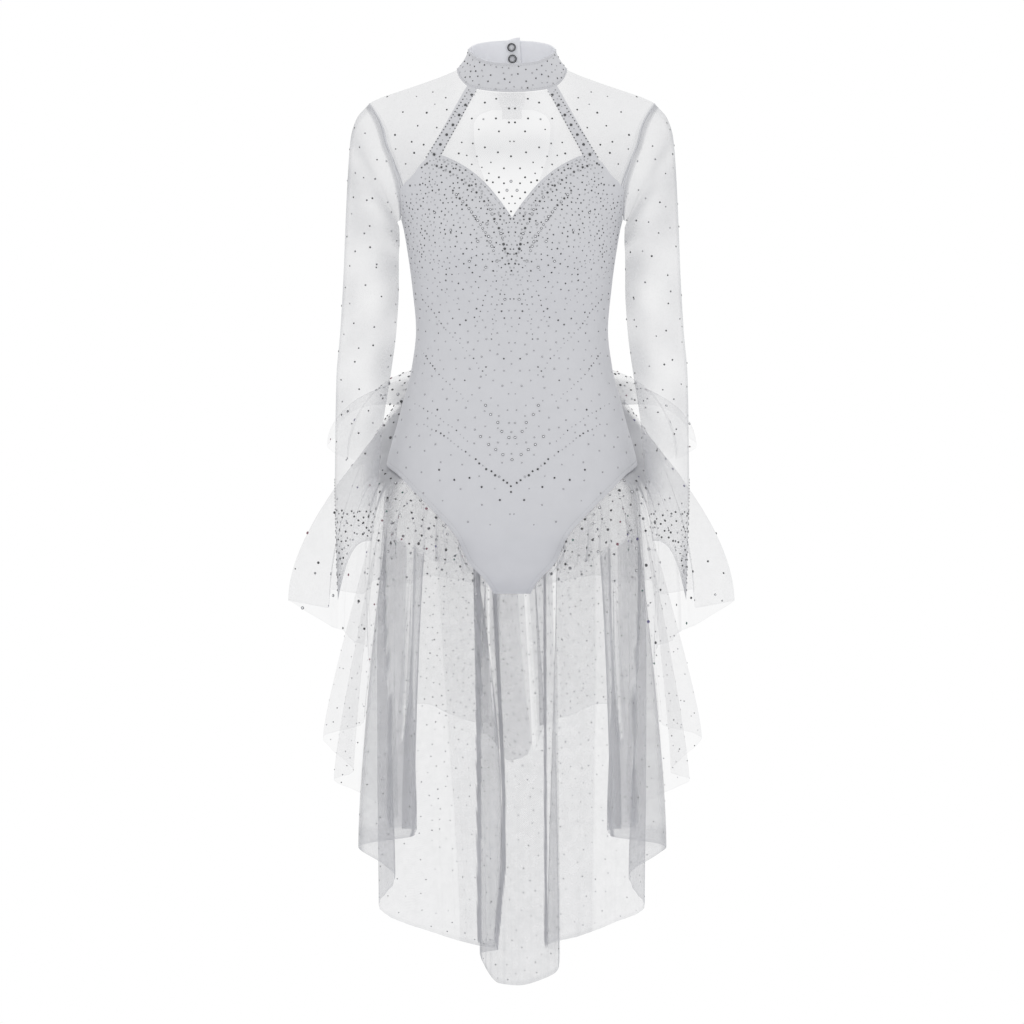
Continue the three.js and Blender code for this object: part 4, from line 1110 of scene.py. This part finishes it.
def collar_path(v):
    turn = np.linspace(-COLLAR_FRONT_TURN + 2, COLLAR_FRONT_TURN - 2, 180)
    points = collar_point(turn, np.array([v]))[:, 0]
    return points, unit(points * LEVEL - np.array([0, -4, 0]))


def roll(name, path, radius, slot="leotard_stretch", sides=8):
    """A thin roll of cloth along a path of points, as at a bound or turned edge."""
    ahead = unit(np.gradient(path, axis=0))
    side = unit(np.cross(ahead, np.array([0.13, 0.05, 0.99])))
    clock = np.radians(360 * np.arange(sides + 1) / sides)[:, None, None]
    points = path[None] + radius * (np.cos(clock) * side[None] + np.sin(clock) * np.cross(ahead, side)[None])
    piece(build(name, [points], CLOTH_STRETCH, path.mean(axis=0)), slot)


def stitches(name, paths, slot, length=2.2, gap=1.6):
    """Rows of thread stitches on paths of points with their normals."""
    section = ((-0.2, 0), (-0.12, 0.16), (0.12, 0.16), (0.2, 0))
    corners = np.array([(x, y, z) for x in (-length / 2, length / 2) for y, z in section])
    shape = [(0, 1, 5, 4), (1, 2, 6, 5), (2, 3, 7, 6), (0, 3, 2, 1), (4, 5, 6, 7)]
    verts, faces = [], []
    for path, normals in paths:
        at = np.arange(gap, lengths(path, 0)[-1] - gap, length + gap)
        spots = sample(np.hstack([path, normals]), at)
        for spot, ahead in zip(spots, unit(np.gradient(spots[:, :3], axis=0))):
            n = unit(spot[3:])
            faces += [tuple(len(verts) * len(corners) + k for k in face) for face in shape]
            verts.append((spot[:3] + n * 0.05 + lay(corners, ahead, unit(np.cross(n, ahead)), n)) * MM)
    mesh = bpy.data.meshes.new(name)
    mesh.from_pydata(np.concatenate(verts).tolist(), [], faces)
    mesh.materials.append(THREAD)
    piece(new_object(name, mesh), slot)


def make_seams():
    sewn = []
    for path, n in (leg_path(5.5), edge_path(3.2)):
        sewn += [(path, n), (path * MIRROR, n * MIRROR)]
    for v in (0.07, 0.93):
        path, n = collar_path(v)
        sewn.append((path + n * 0.15, n))
    stitches("edge_stitches", sewn, "leotard_stretch")
    for side, turned in (("left", 1), ("right", MIRROR)):
        roll("leg_edge_" + side, leg_path(0.2)[0] * turned, 0.65)
        roll("neckline_edge_" + side, edge_path(0.1)[0] * turned, 0.5)
    loop = armhole_loop(np.linspace(0, 360, 145)) - np.array([0.4, 0, 0])
    roll("armhole_seam_left", loop, 0.8, "sheer_mesh")
    roll("armhole_seam_right", loop * MIRROR, 0.8, "sheer_mesh")
    roll("collar_edge_top", collar_path(0.0)[0], 0.6)
    roll("collar_edge_low", collar_path(0.99)[0], 0.6)


make_seams()


# Stones

RANDOM = np.random.default_rng(SEED)
# Kinds of stone: the dark and pale greys are painted reflection, and the bright centre is a painted highlight
DARK_PAINTED_REFLECTION, PALE, RING, GREEN, VIOLET, ROSE, PAINTED_HIGHLIGHT = range(7)
STONES = []
TAKEN = []


def put_stones(owner, points, normals, radii, kinds):
    """Keeps each stone's piece, point, normal, radius and kind."""
    radii, kinds = np.broadcast_to(radii, len(points)), np.broadcast_to(kinds, len(points))
    STONES.extend(zip([owner] * len(points), points, normals, radii, kinds))


def along(points, spacing):
    """Points at an even spacing along a bent line."""
    points = np.array(points, float)
    length = lengths(points, 0)[-1]
    return sample(points, np.linspace(0, length, max(1, round(length / spacing)) + 1))


def spaced(points, spacing):
    """Keeps the points that lie no closer than the spacing, a number or one for each point."""
    spacing = np.broadcast_to(spacing, len(points))
    kept = []
    for i, point in enumerate(points):
        gap = np.linalg.norm(points[kept] - point, axis=1)
        if not np.any(gap < np.maximum(spacing[i], spacing[kept]) * 0.5 + spacing[i] * 0.5):
            kept.append(i)
    return kept


def both_sides(xz, radii, kinds):
    """Stones on the front at (x, z), and their mirror images."""
    xz = np.array(xz, float)
    radii, kinds = np.broadcast_to(radii, len(xz)), np.broadcast_to(kinds, len(xz))
    for sign in (1, -1):
        off = np.abs(xz[:, 0]) > 1.5 if sign < 0 else np.ones(len(xz), bool)
        put_stones("stones_bodice", *on_front(sign * xz[off, 0], xz[off, 1]), radii[off], kinds[off])
    TAKEN.extend(np.stack([-np.abs(xz[:, 0]), xz[:, 1]], -1))


# Rows of stones on the left half of the front: spacing, radius, kind, corners on the layout grid
ROWS = [
    (6.4, 1.6, DARK_PAINTED_REFLECTION, [(428, 165), (442, 169), (455, 177), (466, 184), (477, 194)]),
    (6.6, 1.75, RING, [(481, 199), (489, 208), (494, 220), (499, 230), (502, 242), (507, 255)]),
    (5.6, 1.25, PALE, [(437, 160), (455, 169), (468, 178), (478, 188), (490, 203), (500, 217), (508, 229)]),
    (6.0, 1.7, RING, [(454, 193), (464, 204), (472, 214), (480, 226), (488, 238), (493, 252)]),
    (7.0, 1.3, DARK_PAINTED_REFLECTION, [(411, 186), (436, 186)]),
    (6.0, 1.0, DARK_PAINTED_REFLECTION, [(415, 249), (424, 255), (437, 263), (448, 270)]),
    (6.5, 0.95, PALE, [(417, 272), (430, 280), (445, 292), (458, 304)]),
    (6.0, 1.05, DARK_PAINTED_REFLECTION, [(424, 300), (434, 312), (445, 328)]),
    (6.5, 0.9, PALE, [(447, 330), (462, 346), (476, 362), (486, 376)]),
    (5.6, 1.15, DARK_PAINTED_REFLECTION, [(425, 353), (436, 370)]),
    (6.5, 0.9, PALE, [(437, 372), (452, 388), (468, 402)]),
    (5.8, 1.15, PALE, [(425, 425), (445, 436), (460, 448), (470, 455)]),
    (6.0, 1.5, DARK_PAINTED_REFLECTION, [(476, 460), (487, 469), (499, 477), (511, 486)]),
    (6.5, 0.95, PALE, [(416, 404), (434, 414), (452, 427), (468, 441)]),
    (6.8, 0.9, PALE, [(500, 262), (494, 280), (484, 300), (478, 322)]),
    (6.8, 0.9, PALE, [(505, 276), (500, 296), (494, 318), (492, 340)]),
    (5.4, 1.25, DARK_PAINTED_REFLECTION, [(504, 250), (508, 262), (511, 272)]),
]
for spacing, radius, kind, corners in ROWS:
    row = along(on_grid(corners), spacing)
    row += RANDOM.normal(0, 0.45, row.shape)
    sizes = radius * RANDOM.uniform(0.72, 1.12, len(row))
    kinds = np.where(RANDOM.random(len(row)) < 0.25, PALE if kind == DARK_PAINTED_REFLECTION else DARK_PAINTED_REFLECTION, kind)
    both_sides(row, sizes, kinds)
RINGS = [
    (486, 406), (491, 415), (498, 423), (502, 432), (481, 437), (509, 438), (489, 445), (496, 450),
    (503, 455), (512, 460), (487, 226), (497, 262), (478, 243), (486, 268), (505, 300), (470, 262),
    (452, 232), (436, 214),
]
both_sides(on_grid(RINGS), 1.75, RING)
LARGE = [(482, 487), (470, 478), (511, 492), (500, 500), (455, 480), (440, 470)]
both_sides(on_grid(LARGE), 1.4, DARK_PAINTED_REFLECTION)

# Larger stones on the front yoke, in the neckline and on the shoulders
YOKE = [
    (504, 170), (491, 164), (499, 179), (504, 185), (493, 184), (512, 198), (504, 200), (499, 194),
    (509, 205), (511, 213), (489, 175), (482, 169), (487, 182), (511, 158), (498, 154), (485, 149),
    (473, 145), (477, 158), (467, 157), (459, 155), (510, 143), (499, 133), (479, 131), (462, 144),
    (509, 124), (496, 120), (472, 120), (485, 104), (509, 110), (472, 166), (412, 143), (424, 146),
    (406, 165), (427, 114), (437, 129), (447, 111), (433, 93), (446, 99), (418, 127), (396, 150),
]
both_sides(on_grid(YOKE), RANDOM.uniform(1.0, 1.5, len(YOKE)), DARK_PAINTED_REFLECTION)
NECK_RINGS = [(511, 183), (507, 192)]
both_sides(on_grid(NECK_RINGS), 1.9, RING)

# Both edges of each strap, and larger and smaller stones between them
for top, low in ((-47, -93), (-56, -110)):
    both_sides(along([(top, -30), (low, -115)], 4.6), 0.95, DARK_PAINTED_REFLECTION)
both_sides(along([(-52, -36), (-100, -112)], 16), 1.9, DARK_PAINTED_REFLECTION)
small = along([(-54, -32), (-101, -112)], 8)
both_sides(small + RANDOM.uniform(-2.5, 2.5, small.shape), 0.85, PALE)


def front_scatter(tries, x_range, z_range, spacing, radius, keep):
    """Stones scattered on the left half and mirrored, clear of those that are there already."""
    xz = np.stack([RANDOM.uniform(*x_range, tries), RANDOM.uniform(*z_range, tries)], -1)
    half = read(TORSO, "drop", "half", -xz[:, 1])
    xz = xz[(np.abs(xz[:, 0]) < half * 0.985) & keep(xz[:, 0], -xz[:, 1])]
    gap = spacing(xz[:, 0], -xz[:, 1])
    old = np.array(TAKEN)
    clear = np.array([np.min(np.linalg.norm(old - q, axis=1)) > 0.55 * g for q, g in zip(xz, gap)])
    xz, gap = xz[clear], gap[clear]
    xz = xz[spaced(xz, gap)]
    sizes = radius * RANDOM.uniform(0.8, 1.25, len(xz)) * mix(1, 1.2, smoothstep(-xz[:, 1], 260, 400))
    dark = RANDOM.random(len(xz)) < mix(0.6, 0.08, smoothstep(-xz[:, 1], 230, 400))
    both_sides(xz, sizes, np.where(dark, DARK_PAINTED_REFLECTION, PALE))


LEG_EDGE = table("x drop", [
    (24, 679), (34, 662), (56, 638), (70, 608), (97, 576), (125, 548), (150, 525), (167, 510),
])
LAST_STONE = 592


def below_edge(x, drop):
    leg = np.interp(np.abs(x), LEG_EDGE["x"], LEG_EDGE["drop"])
    in_cups = (drop > 160) | (np.abs(x) < 118)
    return (drop > top_edge(x) + 3) & (drop < np.minimum(leg - 6, LAST_STONE)) & in_cups


def inside_yoke(x, drop):
    inner, outer = strap_lines(drop)
    neck = read(NECK, "x", "drop", np.abs(x))
    clear_of_strap = (np.abs(x) < inner - 4) | (np.abs(x) > outer + 6) | (drop > STRAP_LOW - 2)
    return (drop < top_edge(x) - 4) & (drop > neck + 8) & clear_of_strap & (np.abs(x) < 165)


def bodice_gap(x, drop):
    gap = 5.6 + 3.6 * smoothstep(drop, 210, 320) + 3.4 * smoothstep(drop, 330, 420)
    gap = gap + 14 * smoothstep(drop, 480, 560)
    return gap - 1.4 * smoothstep(np.abs(x), 70, 120) * (drop < 330) - 1.0 * (np.abs(x) < 22)


def yoke_gap(x, drop):
    """The same for every x."""
    return 26 - 12 * smoothstep(drop, 120, 165)


def ruffle_gap(at):
    """Close by the hips and along the legs, wide on the outer part of the ruffles."""
    return 12 + 22 * smoothstep(np.abs(at[:, 0]), 165, 200) + 5 * smoothstep(at[:, 1], 60, 120)


def speck_gap(at):
    """Close on the middle of the back, wide at the sides."""
    return 9.5 + 9 * smoothstep(np.abs(at[:, 0]), 105, 145) + 3 * smoothstep(-at[:, 2], 880, 1000)


def grid_scatter(owner, points, tries, u_range, v_range, spacing, radii, kinds, side=1):
    """Stones scattered on part of a grid of points, on its outer side."""
    u, v = RANDOM.uniform(*u_range, tries), RANDOM.uniform(*v_range, tries)
    at, n = surface(points, u, v)
    keep = spaced(at, spacing(at) if callable(spacing) else spacing)
    at, n = at[keep], n[keep] * side
    radii = RANDOM.uniform(*radii, len(at))
    put_stones(owner, at + n * STONE_LIFT, n, radii, RANDOM.choice(kinds, len(at)))


front_scatter(14000, (-160, 0), (-592, -115), bodice_gap, 0.98, below_edge)
front_scatter(1500, (-165, 0), (-190, -32), yoke_gap, 1.2, inside_yoke)

# Collar and sleeves: sparse on the arm, dense over the hand, and rows down two edges near the wrist
OWNER = "stones_collar_and_sleeves"
grid_scatter(OWNER, collar_front, 900, (0.03, 0.97), (0.1, 0.93), 7.6, (0.9, 1.2), [PALE, DARK_PAINTED_REFLECTION])
for sign, arm in sleeves.items():
    grid_scatter(OWNER, arm, 260, (0, 1), (0.06, 0.8), 27, (1.0, 1.4), [DARK_PAINTED_REFLECTION], sign)
    grid_scatter(OWNER, arm, 500, (0.56, 1), (0.905, 0.985), 6.6, (1.1, 1.5), [DARK_PAINTED_REFLECTION, DARK_PAINTED_REFLECTION, PALE], sign)
    grid_scatter(OWNER, arm, 120, (0, 0.5), (0.91, 0.98), 12, (1.1, 1.4), [DARK_PAINTED_REFLECTION], sign)
    for u in (0.0, 0.985):
        at, n = surface(arm, np.full(22, u), np.linspace(0.84, 0.99, 22))
        put_stones(OWNER, at + n * sign * STONE_LIFT, n * sign, 1.15, DARK_PAINTED_REFLECTION)

# Skirt tiers
TINTS = [DARK_PAINTED_REFLECTION] * 7 + [RING] * 3 + [GREEN, VIOLET, ROSE]
for name, points in tiers.items():
    owner, top, spacing, radii, kinds = "stones_skirt", 0.3, speck_gap, (0.6, 1.0), [DARK_PAINTED_REFLECTION, PALE]
    if name in ("peplum_back", "flounce_short"):
        owner, top, spacing, radii, kinds = "stones_ruffles", 0.05, ruffle_gap, (1.1, 2.1), TINTS
    grid_scatter(owner, points, 4200, (0.01, 0.99), (top, 0.97), spacing, radii, kinds)


def stone_template(kind, small):
    """Corners and faces of one stone of radius 1 lying on z = 0, and which faces are its bright centre, a
    painted highlight.
    """
    sides = 7 if small else 10
    rings = [(1, 0), (0.88, 0.4), (0.5, 0.62)] if small else [(1, 0), (1, 0.12), (0.84, 0.42), (0.5, 0.62)]
    if kind == RING:
        rings = [(1, 0), (1, 0.35), (0.86, 0.5), (0.64, 0.4), (0.4, 0.62)]
    clock = np.radians(360 * np.arange(sides) / sides)
    corners = [(r * math.cos(a), r * math.sin(a), h) for r, h in rings for a in clock]
    faces, marks = [], []
    for level in range(len(rings) - 1):
        for k in range(sides):
            a, b = level * sides + k, level * sides + (k + 1) % sides
            faces.append((a, b, b + sides, a + sides))
            marks.append(kind == RING and level == 3)
    faces.append(tuple(range(len(corners) - sides, len(corners))))
    marks.append(kind == RING)
    return np.array(corners), faces, marks


def stone_mesh(name, looks):
    verts, faces, marks = [], [], []
    base = 0
    pairs = [(kind, small) for kind in range(PAINTED_HIGHLIGHT) for small in (False, True)]
    templates = {pair: stone_template(*pair) for pair in pairs}
    for owner, point, n, radius, kind in STONES:
        if owner != name:
            continue
        corners, shape, bright = templates[int(kind), bool(radius < SMALL_STONE)]
        spin = RANDOM.uniform(0, math.tau)
        side = unit(np.cross(n, (0.31, 0.22, 0.92)))
        across = math.cos(spin) * side + math.sin(spin) * np.cross(n, side)
        verts.append((point + lay(corners, across, np.cross(n, across), n) * radius) * MM)
        faces += [tuple(base + k for k in face) for face in shape]
        marks += [PAINTED_HIGHLIGHT if b else int(kind) for b in bright]
        base += len(corners)
    mesh = bpy.data.meshes.new(name)
    mesh.from_pydata(np.concatenate(verts).tolist(), [], faces)
    for look in looks:
        mesh.materials.append(look)
    mesh.polygons.foreach_set("material_index", marks)
    return new_object(name, mesh)


# The stones' dark and pale greys stand in for what cut stones reflect, as painted reflection; the ring
# stones' bright centres are a painted highlight; green, violet and rose are their own tints
# In the order of the kinds
STONE_LOOKS = [
    metal("stone_dark_painted_reflection", grey(0.05), grey(0.12), 0.15, 0.4),
    metal("stone_pale", grey(0.34), grey(0.46), 0.2, 0.2),
    metal("stone_ring_rim", grey(0.10), grey(0.18), 0.25, 0.6),
    metal("stone_green", (0.06, 0.12, 0.11), (0.12, 0.20, 0.18), 0.15, 0.4),
    metal("stone_violet", (0.09, 0.08, 0.18), (0.15, 0.14, 0.26), 0.15, 0.4),
    metal("stone_rose", (0.18, 0.08, 0.10), (0.26, 0.14, 0.17), 0.15, 0.4),
    metal("stone_painted_highlight", grey(0.75), grey(0.85), 0.1, 0.1),
]
for name in ("stones_bodice", "stones_collar_and_sleeves", "stones_ruffles", "stones_skirt"):
    piece(stone_mesh(name, STONE_LOOKS), "stones")


# Light and floor

def light():
    world = bpy.data.worlds.new("studio")
    bpy.context.scene.world = world
    world.use_nodes = True
    put(world.node_tree.nodes["Background"], Color=(1, 1, 1, 1), Strength=1.0)
    bpy.context.scene.view_settings.view_transform = "Standard"


def floor():
    bpy.ops.mesh.primitive_circle_add(vertices=96, radius=1.5, fill_type="NGON", location=(0, 0, -1.42))
    obj = bpy.context.active_object
    obj.name = "floor"
    material, _, shader, _ = start_material("floor_paper", 12, 3, grey(0.84), grey(0.88))
    put(shader, Roughness=0.9)
    obj.data.materials.append(material)


light()
floor()
